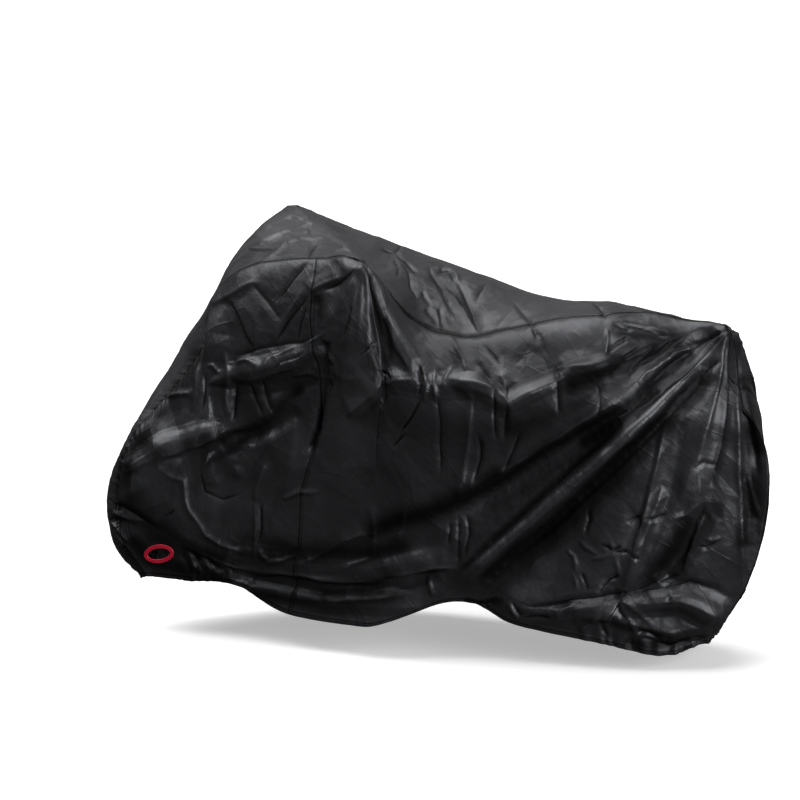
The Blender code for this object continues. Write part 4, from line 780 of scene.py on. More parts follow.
class Cover:
    """The cloth's surface as one welded grid: point numbers of the strip and of both sides."""

    def __init__(self):
        self.names = [row[0] for row in STRIP_SECTIONS]
        self.places = section_places()
        self.rows, self.nose, self.seam, self.corner = strip_samples(self.names, self.places)
        self.strip, self.points = self.make_strip()
        self.left = self.add_side("left", 1, 0)
        self.right = self.add_side("right", 3, STRIP_CELLS)
        split = self.seam - self.nose
        self.faces = {
            "top_strip": grid_faces(self.strip, False),
            "left_front_panel": grid_faces(self.left[:split + 1], True),
            "left_rear_panel": grid_faces(self.left[split:], True),
            "right_front_panel": grid_faces(self.right[:split + 1], False),
            "right_rear_panel": grid_faces(self.right[split:], False),
        }
        self.every_face = np.concatenate(list(self.faces.values()))
        self.measure()

    def make_strip(self):
        """The top strip: an arc through left seam, crown and right seam at every row."""
        left, crown, right = (
            smooth_curve(self.places, [row[column] for row in STRIP_SECTIONS], self.rows)
            for column in (1, 2, 3))
        v = np.linspace(0.0, 1.0, STRIP_CELLS + 1)[None, :, None]
        arcs = (left[:, None] * (1 - v) * (1 - 2 * v) + crown[:, None] * 4 * v * (1 - v)
                + right[:, None] * v * (2 * v - 1))
        index = np.arange(arcs.shape[0] * arcs.shape[1]).reshape(arcs.shape[:2])
        return index, arcs.reshape(-1, 3)

    def add_side(self, name, column, strip_edge):
        """A side: a patch between its seam and its hem, which swells out below the seam."""
        top_rows = np.arange(self.nose, self.corner + 1)
        edge = self.points[self.strip[:, strip_edge]]
        seam = edge[top_rows][:, None]
        front = edge[self.nose::-1][None]
        rear = edge[self.corner:][None]
        knots = [self.places[self.names.index(row[0])] for row in HEM_SECTIONS]
        rows = self.rows[top_rows]
        hem = smooth_curve(knots, [row[column] for row in HEM_SECTIONS], rows)[:, None]
        swell = smooth_curve(knots, [(row[column + 1],) for row in HEM_SECTIONS], rows)
        s = np.linspace(0.0, 1.0, len(top_rows))[:, None, None]
        t = np.linspace(0.0, 1.0, SIDE_CELLS + 1)[None, :, None]
        corners = ((1 - s) * (1 - t) * seam[0] + s * (1 - t) * seam[-1]
                   + (1 - s) * t * hem[0] + s * t * hem[-1])
        patch = (1 - t) * seam + t * hem + (1 - s) * front + s * rear - corners
        outward = -1.0 if name == "left" else 1.0
        patch[:, :, 1] += outward * swell * swell_profile(t[:, :, 0])
        patch = self.lean_seam(patch)
        index = np.zeros(patch.shape[:2], int)
        fresh = patch[1:-1, 1:]
        index[1:-1, 1:] = len(self.points) + np.arange(fresh[..., 0].size).reshape(fresh.shape[:2])
        index[:, 0] = self.strip[top_rows, strip_edge]
        index[0] = self.strip[self.nose::-1, strip_edge]
        index[-1] = self.strip[self.corner:, strip_edge]
        self.points = np.concatenate((self.points, fresh.reshape(-1, 3)))
        return index

    def lean_seam(self, patch):
        """The patch with its side seam brought forward on the lower wall, along the cloth."""
        rows = np.arange(len(patch), dtype=float)[:, None]
        down = np.linspace(0.0, 1.0, patch.shape[1])
        lean = np.interp(down, *zip(*SEAM_LEAN)) / CELL
        away = (rows - (self.seam - self.nose)) / (SEAM_LEAN_REACH / CELL)
        rows = np.clip(rows - lean * np.exp(-away**2), 0.0, len(patch) - 1.0)
        low = np.minimum(rows.astype(int), len(patch) - 2)
        f = (rows - low)[:, :, None]
        column = np.arange(patch.shape[1])
        return (1.0 - f) * patch[low, column] + f * patch[low + 1, column]

    def measure(self):
        """For every point: its place in the flat cloth, and its distance from each seam and hem."""
        count = len(self.points)
        self.cloth = np.zeros((count, 3))
        self.from_hem, self.from_top_seam, self.from_side_seam = np.full((3, count), FAR)
        self.place = np.zeros(count)
        self.behind_seam = np.zeros(count, bool)
        split = self.seam - self.nose
        for index in (self.left, self.right):
            grid = self.points[index]
            down = run_lengths(grid, 1)
            along = run_lengths(grid, 0)
            self.cloth[index, 0] = along
            self.cloth[index, 1] = down
            self.from_hem[index] = down[:, -1:] - down
            self.from_top_seam[index] = down
            self.from_side_seam[index] = np.abs(along - along[split])
            self.behind_seam[index] = along > along[split]
            ends = np.minimum(along, along[-1] - along)
            self.from_top_seam[index] = np.minimum(self.from_top_seam[index], ends)
            self.place[index] = self.rows[self.nose:self.corner + 1, None]
        grid = self.points[self.strip]
        across = run_lengths(grid, 1)
        along = run_lengths(grid, 0)
        self.cloth[self.strip, 0] = self.rows[:, None]
        self.cloth[self.strip, 1] = -across
        self.from_hem[self.strip] = np.minimum(along, along[-1] - along)
        self.from_top_seam[self.strip] = np.minimum(across, across[:, -1:] - across)
        self.place[self.strip] = self.rows[:, None]
        self.on_strip = np.zeros(count, bool)
        self.on_strip[self.strip] = True


def vertex_normals(points, faces):
    """Outward normals of the welded grid, each face weighted by its area."""
    face_normals = np.cross(points[faces[:, 2]] - points[faces[:, 0]],
                            points[faces[:, 3]] - points[faces[:, 1]])
    normals = np.zeros_like(points)
    for axis in range(3):
        for corner in range(4):
            normals[:, axis] += np.bincount(faces[:, corner], face_normals[:, axis], len(points))
    return normals / np.linalg.norm(normals, axis=1)[:, None]


# ======================================================================= folds and creases

def oblique(vectors, side):
    """(along, up, towards) of vectors in a side's oblique elevation."""
    turn_sin, turn_cos = math.sin(FOLD_TURN), math.cos(FOLD_TURN)
    tilt_sin, tilt_cos = math.sin(FOLD_TILT), math.cos(FOLD_TILT)
    x = vectors[:, 0]
    y = vectors[:, 1] if side == "left" else -vectors[:, 1]
    z = vectors[:, 2]
    away = y * turn_cos - x * turn_sin
    return (x * turn_cos + y * turn_sin, away * tilt_sin + z * tilt_cos,
            z * tilt_sin - away * tilt_cos)


def path_distance(here, path):
    """Distance to a path, + to the left of its run, and the share of the path reached there."""
    places = path_places(path)
    nearest = np.full(len(here), 1e9)
    signed = np.zeros(len(here))
    reached = np.zeros(len(here))
    for start, end, place, after in zip(path[:-1], path[1:], places[:-1], places[1:]):
        run = end - start
        offset = here - start
        f = np.clip(offset @ run / (run @ run), 0.0, 1.0)
        distance = np.linalg.norm(offset - f[:, None] * run, axis=1)
        side = run[0] * offset[:, 1] - run[1] * offset[:, 0]
        closer = distance < nearest
        nearest = np.where(closer, distance, nearest)
        signed = np.where(closer, np.where(side < 0.0, -distance, distance), signed)
        reached = np.where(closer, place + f * (after - place), reached)
    return signed, reached / places[-1]


def fold_heights(here, folds):
    """Height of all the main folds of one side at each point of its oblique elevation."""
    total = np.zeros(len(here))
    for _name, path, width_start, width_end, height, crest in folds:
        signed, reached = path_distance(here, np.array(path))
        width = width_start + (width_end - width_start) * reached
        rest = np.clip(1.0 - np.abs(signed) / width, 0.0, 1.0)
        profile = rest**SHARP_CREST if crest == "sharp" else rest * rest * (3.0 - 2.0 * rest)
        total += height * width / width_end * profile * smooth_step(1.0 - reached, 0.0, FOLD_END)
    return total


def crease_section(signed, left, right, section, height):
    """Height of a crease's section at a distance to the left (+) or right of its crest."""
    rest = np.clip(1.0 - np.abs(signed) / np.where(signed > 0.0, left, right), 0.0, 1.0)
    if section == "round":
        return height * rest * rest * (3.0 - 2.0 * rest)
    if section == "sharp":
        crest = np.clip(1.0 - np.abs(signed) / CREST_WIDTH, 0.0, 1.0)
        return height * rest + np.copysign(CREST_HEIGHT, height) * crest
    upper = smooth_step(signed, -LAP_EDGE, LAP_EDGE)
    return height * rest * (upper - (1.0 - upper) * LAP_DROP)


def faded(values, reached, kind):
    """The values, less towards the ends of the crease at which its kind fades."""
    _section, _start_share, fade_in, fade_out = CREASE_KINDS[kind]
    if fade_in:
        values = values * smooth_step(reached, 0.0, CREASE_FADE)
    if fade_out:
        values = values * smooth_step(1.0 - reached, 0.0, CREASE_FADE)
    return values


def crease_heights(here, creases):
    """Height of all the creases of one side at each point of its oblique elevation."""
    total = np.zeros(len(here))
    for _name, kind, left, right, height, *path in creases:
        section, start_share, _fade_in, _fade_out = CREASE_KINDS[kind]
        path = np.array(path) / CENTIMETRES
        left, right = left / MILLIMETRES, right / MILLIMETRES
        height = height / MILLIMETRES * CREASE_GAIN
        low, high = path.min(axis=0) - max(left, right), path.max(axis=0) + max(left, right)
        near = np.nonzero((here[:, 0] > low[0]) & (here[:, 0] < high[0])
                          & (here[:, 1] > low[1]) & (here[:, 1] < high[1]))[0]
        signed, reached = path_distance(here[near], path)
        share = start_share + (1.0 - start_share) * reached
        profile = crease_section(signed, left * share, right * share, section, height * share)
        total[near] += faded(profile, reached, kind)
    return total


def crease_painted_line_map(creases):
    """A map of the painted lines in the creases: painted shade down to -1 in a trough or lap,
    painted highlight up to 1 on a ridge.
    """
    low, high = np.array(FACET_MAP)
    values = np.zeros(np.ceil((high - low) / PAINTED_LINE_MAP_CELL).astype(int) + 1)
    for _name, kind, _left, _right, height, *path in creases:
        section = CREASE_KINDS[kind][0]
        if section == "round":
            continue
        path = np.array(path) / CENTIMETRES
        first = ((path.min(axis=0) - PAINTED_LINE_WIDTH - low) / PAINTED_LINE_MAP_CELL).astype(int)
        last = ((path.max(axis=0) + PAINTED_LINE_WIDTH - low) / PAINTED_LINE_MAP_CELL).astype(int) + 2
        cells = np.stack(np.meshgrid(*map(np.arange, first, last), indexing="ij"), axis=-1)
        signed, reached = path_distance(low + cells.reshape(-1, 2) * PAINTED_LINE_MAP_CELL, path)
        line = faded(np.clip(1.0 - np.abs(signed) / PAINTED_LINE_WIDTH, 0.0, 1.0), reached, kind)
        line *= -1.0 if height < 0.0 or section == "lap" else RIDGE_PAINTED_HIGHLIGHT
        block = values[first[0]:last[0], first[1]:last[1]]
        line = line.reshape(block.shape)
        block[:] = np.where(np.abs(line) > np.abs(block), line, block)
    return values


def painted_shade_tones(shades, along, up):
    """The tones of the wide painted shade and painted light at places of the elevation."""
    here = np.stack((along, up), axis=1)
    total = np.zeros(len(here))
    for _name, left, right, depth, *path in shades:
        signed, reached = path_distance(here, np.array(path) / CENTIMETRES)
        tone = crease_section(signed, left / MILLIMETRES, right / MILLIMETRES, "round", depth)
        tone *= smooth_step(np.minimum(reached, 1.0 - reached), *SHADE_FADE)
        total = np.where(np.abs(tone) > np.abs(total), tone, total)
    return total


def even_path(path, step):
    """The path's points, with more between them so that none are further apart than a step."""
    points = [path[:1]]
    for start, end in zip(path[:-1], path[1:]):
        count = max(1, math.ceil(np.linalg.norm(end - start) / step))
        points.append(start + (end - start) * np.linspace(0.0, 1.0, count + 1)[1:, None])
    return np.concatenate(points)


def path_across(path):
    """Unit vectors to the left of a path at each of its points."""
    runs = np.gradient(path, axis=0)
    runs /= np.linalg.norm(runs, axis=1)[:, None] + 1e-12
    return np.stack((-runs[:, 1], runs[:, 0]), axis=1)


def crease_lines(creases):
    """Lines along which the facets of one side meet: each crease's crest and its edges."""
    lines = []
    for _name, kind, left, right, _height, *path in creases:
        section, start_share, _fade_in, _fade_out = CREASE_KINDS[kind]
        path = even_path(np.array(path) / CENTIMETRES, KNOT_STEP)
        across = path_across(path)
        share = np.linspace(start_share, 1.0, len(path))[:, None]
        for place in SECTION_KNOTS[section]:
            width = (left if place > 0.0 else right) / MILLIMETRES
            lines.append((path + across * place * width * share, abs(place) < EDGE_KNOTS))
        if section != "round":
            edge = LAP_EDGE if section == "lap" else CREST_WIDTH
            lines += [(path + across * place, True) for place in (-edge, edge)]
    return lines


def fold_lines(folds):
    """Lines along which the facets of one side's main folds meet."""
    lines = []
    for _name, path, width_start, width_end, _height, _crest in folds:
        path = even_path(np.array(path), KNOT_STEP)
        across = path_across(path)
        width = np.linspace(width_start, width_end, len(path))[:, None]
        for place in FOLD_SECTION_KNOTS:
            lines.append((path + across * place * width, abs(place) < EDGE_KNOTS))
    return lines


def free_knots(step, rng):
    """Unevenly spread corners over the whole map."""
    low, high = np.array(FACET_MAP)
    count = np.ceil((high - low) / step).astype(int) + 3
    knots = np.stack(np.meshgrid(*map(np.arange, count), indexing="ij"), axis=-1) - 1.0
    knots += rng.uniform(-FACET_JITTER, FACET_JITTER, knots.shape)
    return low + knots.reshape(-1, 2) * step


def facet_map(knots, edges, heights_at):
    """A map of flat facets between the knots, with sharp creases along the edges."""
    low, high = np.array(FACET_MAP)
    size = np.ceil((high - low) / FACET_MAP_CELL).astype(int) + 1
    corners, _edges, triangles, *_sources = geometry.delaunay_2d_cdt(
        [Vector(knot) for knot in knots], edges, [], 0, 1e-6)
    corners = np.array([tuple(corner) for corner in corners])
    heights = heights_at(corners)
    places = (corners - low) / FACET_MAP_CELL
    values = np.zeros(size)
    for triangle in triangles:
        place = places[triangle]
        first = np.clip(np.floor(place.min(axis=0)).astype(int), 0, size)
        last = np.clip(np.ceil(place.max(axis=0)).astype(int) + 1, 0, size)
        (ax, ay), (bx, by) = place[1] - place[0], place[2] - place[0]
        area = ax * by - ay * bx
        if (last <= first).any() or abs(area) < 1e-9:
            continue
        column, row = np.ogrid[first[0]:last[0], first[1]:last[1]]
        x, y = column - place[0, 0], row - place[0, 1]
        second = (x * by - y * bx) / area
        third = (ax * y - ay * x) / area
        inside = (second >= -1e-6) & (third >= -1e-6) & (second + third <= 1.0 + 1e-6)
        start, rise_second, rise_third = heights[triangle] - (0.0, *heights[triangle[:1] * 2])
        plane = start + second * rise_second + third * rise_third
        values[first[0]:last[0], first[1]:last[1]][inside] = plane[inside]
    return values


def creased_map(lines, heights_at, knot_step, knot_height, seed):
    """A map of facets whose corners lie along the lines, and freely between them."""
    rng = np.random.default_rng(seed)
    knots, edges, taken = [], [], set()
    for line, sharp in lines:
        first = len(knots)
        knots.extend(line)
        taken.update(map(tuple, np.floor(line / KNOT_CLEAR).astype(int)))
        if sharp:
            edges.extend((number, number + 1) for number in range(first, len(knots) - 1))
    for knot in free_knots(np.array((knot_step, knot_step * KNOT_STRETCH)), rng):
        if tuple(np.floor(knot / KNOT_CLEAR).astype(int)) not in taken:
            knots.append(knot)
    return facet_map(knots, edges, lambda here: heights_at(here) + knot_height * smooth_noise(
        np.column_stack((here, np.zeros(len(here)))), knot_step, seed))


def loose_facets(seed):
    """Heights of free facets of several sizes over the map."""
    rng = np.random.default_rng(seed)
    return sum(facet_map(free_knots(np.array((along_step, up_step)), rng), [],
                         lambda here: rng.uniform(-height, height, len(here)))
               for along_step, up_step, height in FACETS)


def map_values(values, along, up, cell=FACET_MAP_CELL):
    """Values of a map at places of the elevation."""
    low = FACET_MAP[0]
    x = np.clip((along - low[0]) / cell, 0.0, values.shape[0] - 1.001)
    y = np.clip((up - low[1]) / cell, 0.0, values.shape[1] - 1.001)
    column, row = x.astype(int), y.astype(int)
    fx, fy = x - column, y - row
    return ((1 - fx) * ((1 - fy) * values[column, row] + fy * values[column, row + 1])
            + fx * ((1 - fy) * values[column + 1, row] + fy * values[column + 1, row + 1]))


def facing_share(normals, side, low, high):
    """1 where the cloth faces a side, fading to 0 where it turns away from it."""
    return smooth_step(oblique(normals, side)[2], low, high)


def crumple_heights(points):
    """Uneven crumples: sharp ridges and sharp troughs of several sizes."""
    total = np.zeros(len(points))
    longest = CRUMPLES[0][0]
    bend = np.stack([smooth_noise(points, longest, CRUMPLE_SEEDS["bend"] + axis)
                     for axis in range(3)], axis=1)
    for number, (wavelength, ridge, trough) in enumerate(CRUMPLES):
        bent = points + bend * wavelength * CRUMPLE_BEND
        ridges = smooth_noise(bent, wavelength, CRUMPLE_SEEDS["ridges"] + number)
        troughs = smooth_noise(bent + TROUGH_SHIFT, wavelength * TROUGH_LENGTH,
                               CRUMPLE_SEEDS["troughs"] + number)
        total += ridge * ridged(ridges)
        total -= trough * ridged(troughs)
    return total


def crumple_strength(points, normals):
    """How crumpled the cloth is at each point."""
    along, up, _towards = oblique(points, "left")
    facing = facing_share(normals, "left", *CREASE_FACING["left"])
    strength = np.full(len(points), CRUMPLE_CALM)
    for _name, (middle_along, middle_up), radius, most in CRUMPLED:
        distance = np.hypot(along - middle_along, up - middle_up) / radius
        strength += (most - CRUMPLE_CALM) * np.exp(-distance**2) * facing
    return strength


def sewn_heights(cover, points):
    """Puckers and grooves along the seams, and the gathers and band of the hem."""
    nothing = np.zeros(len(points))
    place = np.stack((cover.place, nothing, nothing), axis=1)
    height = np.where(cover.place < NOSE_SEAM_END, NOSE_PUCKER_HEIGHT, PUCKER_HEIGHT)
    pucker = (smooth_noise(place, PUCKER_LENGTH, PUCKER_SEEDS["top"])
              + 0.5 * smooth_noise(place, PUCKER_LENGTH / 2, PUCKER_SEEDS["top_fine"]))
    total = height * pucker * np.exp(-cover.from_top_seam / PUCKER_REACH)
    down = np.stack((points[:, 2], nothing, nothing), axis=1)
    pucker = smooth_noise(down, PUCKER_LENGTH, PUCKER_SEEDS["side"])
    total += PUCKER_HEIGHT * pucker * np.exp(-cover.from_side_seam / PUCKER_REACH)
    for distance in (cover.from_top_seam, cover.from_side_seam):
        total -= SEAM_GROOVE * np.clip(1.0 - distance / SEAM_GROOVE_REACH, 0.0, 1.0)
        total += SEAM_RISE * (1.0 - smooth_step(distance, *SEAM_BAND))
    elastic = np.maximum(1.0 - smooth_step(points[:, 0], *FRONT_ELASTIC_END),
                         smooth_step(points[:, 0], *REAR_ELASTIC_START))
    gather = -ridged(smooth_noise(points, GATHER_SIZE, GATHER_SEED))
    total += GATHER_HEIGHT * gather * elastic * np.exp(-cover.from_hem / GATHER_REACH)
    total += HEM_RISE * (1.0 - smooth_step(cover.from_hem, *HEM_BAND))
    return total


def sewn_painted_shade(cover):
    """Painted shade: dark lines along the seams, the second row of stitches and the hems."""
    total = np.zeros(len(cover.points))
    for distances, lines, where in (
            (cover.from_top_seam, SEAM_PAINTED_SHADE[:1], True),
            (cover.from_top_seam, SEAM_PAINTED_SHADE[1:], cover.on_strip),
            (cover.from_side_seam, SEAM_PAINTED_SHADE[:1], True),
            (cover.from_side_seam, SEAM_PAINTED_SHADE[1:], cover.behind_seam),
            (cover.from_hem, HEM_PAINTED_SHADE, True)):
        for distance, depth in lines:
            line = np.clip(1.0 - np.abs(distances - distance) / PAINTED_LINE_WIDTH, 0.0, 1.0)
            total = np.minimum(total, -depth * line * where)
    return total


class EyeletSeat:
    """The flat place of one eyelet: its centre, its outward normal and its axes."""

    def __init__(self, node, outward):
        """Reads them from the corners of the frame's ring, which is widest along its long axis."""
        corners = np.array([vertex.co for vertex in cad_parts[node].data.vertices])
        self.centre = corners.mean(axis=0) + ORIGIN
        normal, _short_axis, long_axis = np.linalg.eigh(np.cov(corners.T))[1].T
        self.normal = normal * np.sign(normal[1] * outward)
        level = np.cross((0.0, 0.0, 1.0), self.normal)
        self.long_axis = long_axis * np.sign(long_axis @ level)
        self.short_axis = np.cross(self.normal, self.long_axis)

    def flatten(self, points):
        """The points with those around the eyelet laid onto its plane."""
        offset = points - self.centre
        distance = np.linalg.norm(offset, axis=1)
        near = 1.0 - smooth_step(distance, *(share * EYELET_FLAT_RADIUS
                                             for share in EYELET_FLAT_SHARES))
        near = near * (distance < EYELET_FLAT_END * EYELET_FLAT_RADIUS)
        return points - ((offset @ self.normal) * near)[:, None] * self.normal

    def inside(self, points, inset):
        """Which points lie within the eyelet's outer oval less an inset."""
        offset = points - self.centre
        along = offset @ self.long_axis / (EYELET_LENGTH / 2 - inset)
        across = offset @ self.short_axis / (EYELET_HEIGHT / 2 - inset)
        return (np.hypot(along, across) < 1.0) & (np.abs(offset @ self.normal) < EYELET_DEPTH)


def hang_cloth(cover, seats):
    """Lays the main folds, then the creases, crumples, seams and gathers, on the cover."""
    normals = vertex_normals(cover.points, cover.every_face)
    points = cover.points.copy()
    for side, folds in (("left", LEFT_FOLDS), ("right", RIGHT_FOLDS)):
        facing = facing_share(normals, side, *FOLD_FACING)
        seen = facing > 0.0
        along, up, _towards = oblique(cover.points[seen], side)
        laid = creased_map(fold_lines(folds), lambda here: fold_heights(here, folds),
                           *FOLD_KNOTS, FOLD_SEEDS[side])
        points[seen] += normals[seen] * (map_values(laid, along, up) * facing[seen])[:, None]
    normals = vertex_normals(points, cover.every_face)
    wander = [smooth_noise(points, WANDER_LENGTH, seed) * CREASE_WANDER for seed in WANDER_SEEDS]
    uneven = 1.0 + CREASE_UNEVEN * smooth_noise(points, UNEVEN_LENGTH, UNEVEN_SEED)
    crumpled = crumple_strength(points, normals)
    height = np.zeros(len(points))
    faceted = np.zeros(len(points))
    # cover.lines holds painted shade (down to -1) and painted light (up to 1) for the cloth's
    # colour and gloss
    cover.lines = np.zeros(len(points))
    for side, creases in (("left", LEFT_CREASES), ("right", RIGHT_CREASES)):
        facing = facing_share(normals, side, *CREASE_FACING[side])
        seen = facing > 0.0
        along, up, _towards = oblique(points[seen], side)
        along += wander[0][seen]
        up += wander[1][seen]
        laid = creased_map(crease_lines(creases), lambda here: crease_heights(here, creases),
                           *CREASE_KNOTS, CREASE_SEEDS[side])
        loose = loose_facets(CREASE_SEEDS[side])
        height[seen] += facing[seen] * (map_values(laid, along, up) * uneven[seen]
                                        + map_values(loose, along, up) * crumpled[seen])
        faceted = np.maximum(faceted, facing)
        # painted shade in troughs and painted highlight on ridges, and on the left side the wide
        # painted shade and light
        lines = map_values(crease_painted_line_map(creases), along, up, PAINTED_LINE_MAP_CELL)
        if side == "left":
            shade = painted_shade_tones(LEFT_PAINTED_SHADES, along, up)
            lines = np.where(np.abs(lines) > np.abs(shade), lines, shade)
        cover.lines[seen] += facing[seen] * lines
    height += crumple_heights(points) * crumpled * (1.0 - (1.0 - CRUMPLE_UNDER_FACETS) * faceted)
    height += sewn_heights(cover, points)
    # adds the painted shade along the seams and hems
    cover.lines = np.clip(cover.lines + sewn_painted_shade(cover), -1.0, 1.0)
    points += normals * height[:, None]
    for seat in seats.values():
        points = seat.flatten(points)
    return points


# ======================================================================= camera, lights and floor

WORLD_COLOUR = (1.0, 1.0, 1.0)
WORLD_STRENGTH = 0.045
OVERHEAD_FROM = (-0.35, 0.05, 1.0)
OVERHEAD_SPREAD = math.radians(70.0)
OVERHEAD_STRENGTH = 3.6
SIDE_FROM = (1.0, -0.45, 0.30)
SIDE_SPREAD = math.radians(50.0)
SIDE_STRENGTH = 2.6
BACKDROP_AT = (-0.3, 5.0, 1.2)     # a wide soft light behind the cover, facing it
BACKDROP_SIZE = (9.0, 4.0)
BACKDROP_POWER = 20.0
FLOOR_SIZE = 120.0
FLOOR_COLOUR = (0.88, 0.88, 0.88)
FLOOR_ROUGHNESS = 0.9
FLOOR_SPECULAR = 0.1
FLOOR_GLOW = 0.45              # keeps the shadow on the pale floor as light as in the photo


def link(obj):
    """The object, in the scene."""
    bpy.context.scene.collection.objects.link(obj)
    return obj


def aim(obj, direction, axis):
    """Turns an object so that its axis points in a direction."""
    obj.rotation_mode = "QUATERNION"
    obj.rotation_quaternion = Vector(direction).to_track_quat(axis, "Y")


def make_camera():
    """A distant camera that sees the left side's oblique elevation at the photo's scale."""
    along, up, towards = oblique(np.eye(3), "left")
    middle = PICTURE_SIZE / 2
    target = ((middle - PICTURE_ZERO[0]) / PICTURE_SCALE * along
              + (PICTURE_ZERO[1] - middle) / PICTURE_SCALE * up + CAMERA_TOWARDS * towards)
    data = bpy.data.cameras.new("camera")
    data.sensor_width = SENSOR_WIDTH
    data.lens = SENSOR_WIDTH * PICTURE_SCALE * CAMERA_DISTANCE / PICTURE_SIZE
    data.clip_end = CAMERA_FAR
    camera = link(bpy.data.objects.new("camera", data))
    camera.location = Vector(target + CAMERA_DISTANCE * towards - ORIGIN)
    aim(camera, -towards, "-Z")
    bpy.context.scene.camera = camera


def add_sun(name, direction, spread, strength):
    """A soft light of the given angular width, shining from the given direction."""
    data = bpy.data.lights.new(name, "SUN")
    data.angle = spread
    data.energy = strength
    aim(link(bpy.data.objects.new(name, data)), direction, "Z")


def make_lights():
    """A faint white world, two soft suns and a wide light behind the cover."""
    world = bpy.data.worlds.new("studio")
    world.use_nodes = True
    background = world.node_tree.nodes["Background"]
    background.inputs["Color"].default_value = (*WORLD_COLOUR, 1.0)
    background.inputs["Strength"].default_value = WORLD_STRENGTH
    bpy.context.scene.world = world
    bpy.context.scene.view_settings.view_transform = "Standard"
    add_sun("overhead", OVERHEAD_FROM, OVERHEAD_SPREAD, OVERHEAD_STRENGTH)
    add_sun("side", SIDE_FROM, SIDE_SPREAD, SIDE_STRENGTH)
    data = bpy.data.lights.new("backdrop", "AREA")
    data.shape = "RECTANGLE"
    data.size, data.size_y = BACKDROP_SIZE
    data.energy = BACKDROP_POWER
    backdrop = link(bpy.data.objects.new("backdrop", data))
    backdrop.location = BACKDROP_AT
    aim(backdrop, BACKDROP_AT, "Z")
    backdrop.visible_camera = False


def make_floor():
    """A pale floor on which only the cover's shadow shows."""
    mesh = bpy.data.meshes.new("floor")
    half = FLOOR_SIZE / 2
    corners = ((-half, -half), (half, -half), (half, half), (-half, half))
    mesh.from_pydata([(x, y, -ORIGIN[2]) for x, y in corners], [], [(0, 1, 2, 3)])
    material = bpy.data.materials.new("floor_paint")
    material.use_nodes = True
    shader = material.node_tree.nodes["Principled BSDF"]
    shader.inputs["Base Color"].default_value = (*FLOOR_COLOUR, 1.0)
    shader.inputs["Emission Color"].default_value = (*FLOOR_COLOUR, 1.0)
    shader.inputs["Emission Strength"].default_value = FLOOR_GLOW
    shader.inputs["Roughness"].default_value = FLOOR_ROUGHNESS
    shader.inputs["Specular IOR Level"].default_value = FLOOR_SPECULAR
    mesh.materials.append(material)
    floor = link(bpy.data.objects.new("floor", mesh))
    floor.visible_diffuse = False      # the pale floor doesn't light up the black cloth
    floor.visible_glossy = False


# ======================================================================= materials

# Columns: mean size of a facet along and down the cloth, how far it tilts, and the width and
# height of the hairline creases between facets (metres)
CLOTH_FACETS = (
    (0.105, 0.160, 0.17, 0.0030, 0.0004),
    (0.042, 0.060, 0.11, 0.0022, 0.0002),
)
HAIRLINES_SHOWN = (0.42, 0.62)          # noise at which hairlines start to show, and are in full
CLOTH_BEND = 0.03              # how far the facets' edges wander, in metres
CRINKLE_HEIGHT = 0.0008
# Noises, by scale and detail
BEND_NOISE = (7.0, 1.0)
HAIRLINE_NOISES = ((5.0, 2.0), (8.0, 2.0))      # one for each row of CLOTH_FACETS
CRINKLE_NOISE = (55.0, 3.0)
MOTTLE_NOISE = (6.0, 4.0)
ROUGHNESS_NOISE = (14.0, 3.0)
TWIST_NOISE = (900.0, 1.0)
GRAIN_NOISE = (600.0, 2.0)
DYE_NOISE = (60.0, 2.0)
CLOTH_TONES = ((0.0125, 0.0125, 0.0140), (0.0180, 0.0180, 0.0195))
CLOTH_ROUGHNESS = (0.37, 0.48)
ROUGHNESS_SPAN = (0.3, 0.7)    # the noise over which the roughness changes
SHEEN_TINT = (0.93, 0.94, 1.0, 1.0)    # the faint blue of the coating's shine
PAINTED_SHADE_TONES = (0.15, 2.4)       # share of its tone in the darkest painted shade and the palest painted light, in lines and places
PAINTED_SHADE_SPECULAR = (0.10, 0.90)   # and the gloss there, less in painted shade and more in painted light, reached at these depths of tone
PAINTED_SHADE_SPECULAR_SPAN = (-0.8, 0.4)
THREAD_TONES = ((0.004, 0.004, 0.005), (0.012, 0.012, 0.013))
THREAD_BUMP = (0.4, 0.0003)    # strength and height
THREAD_ROUGHNESS = 0.55
EYELET_TONES = ((0.45, 0.006, 0.030), (0.62, 0.012, 0.045))
EYELET_BUMP = (0.3, 0.0003)
EYELET_ROUGHNESS = 0.42


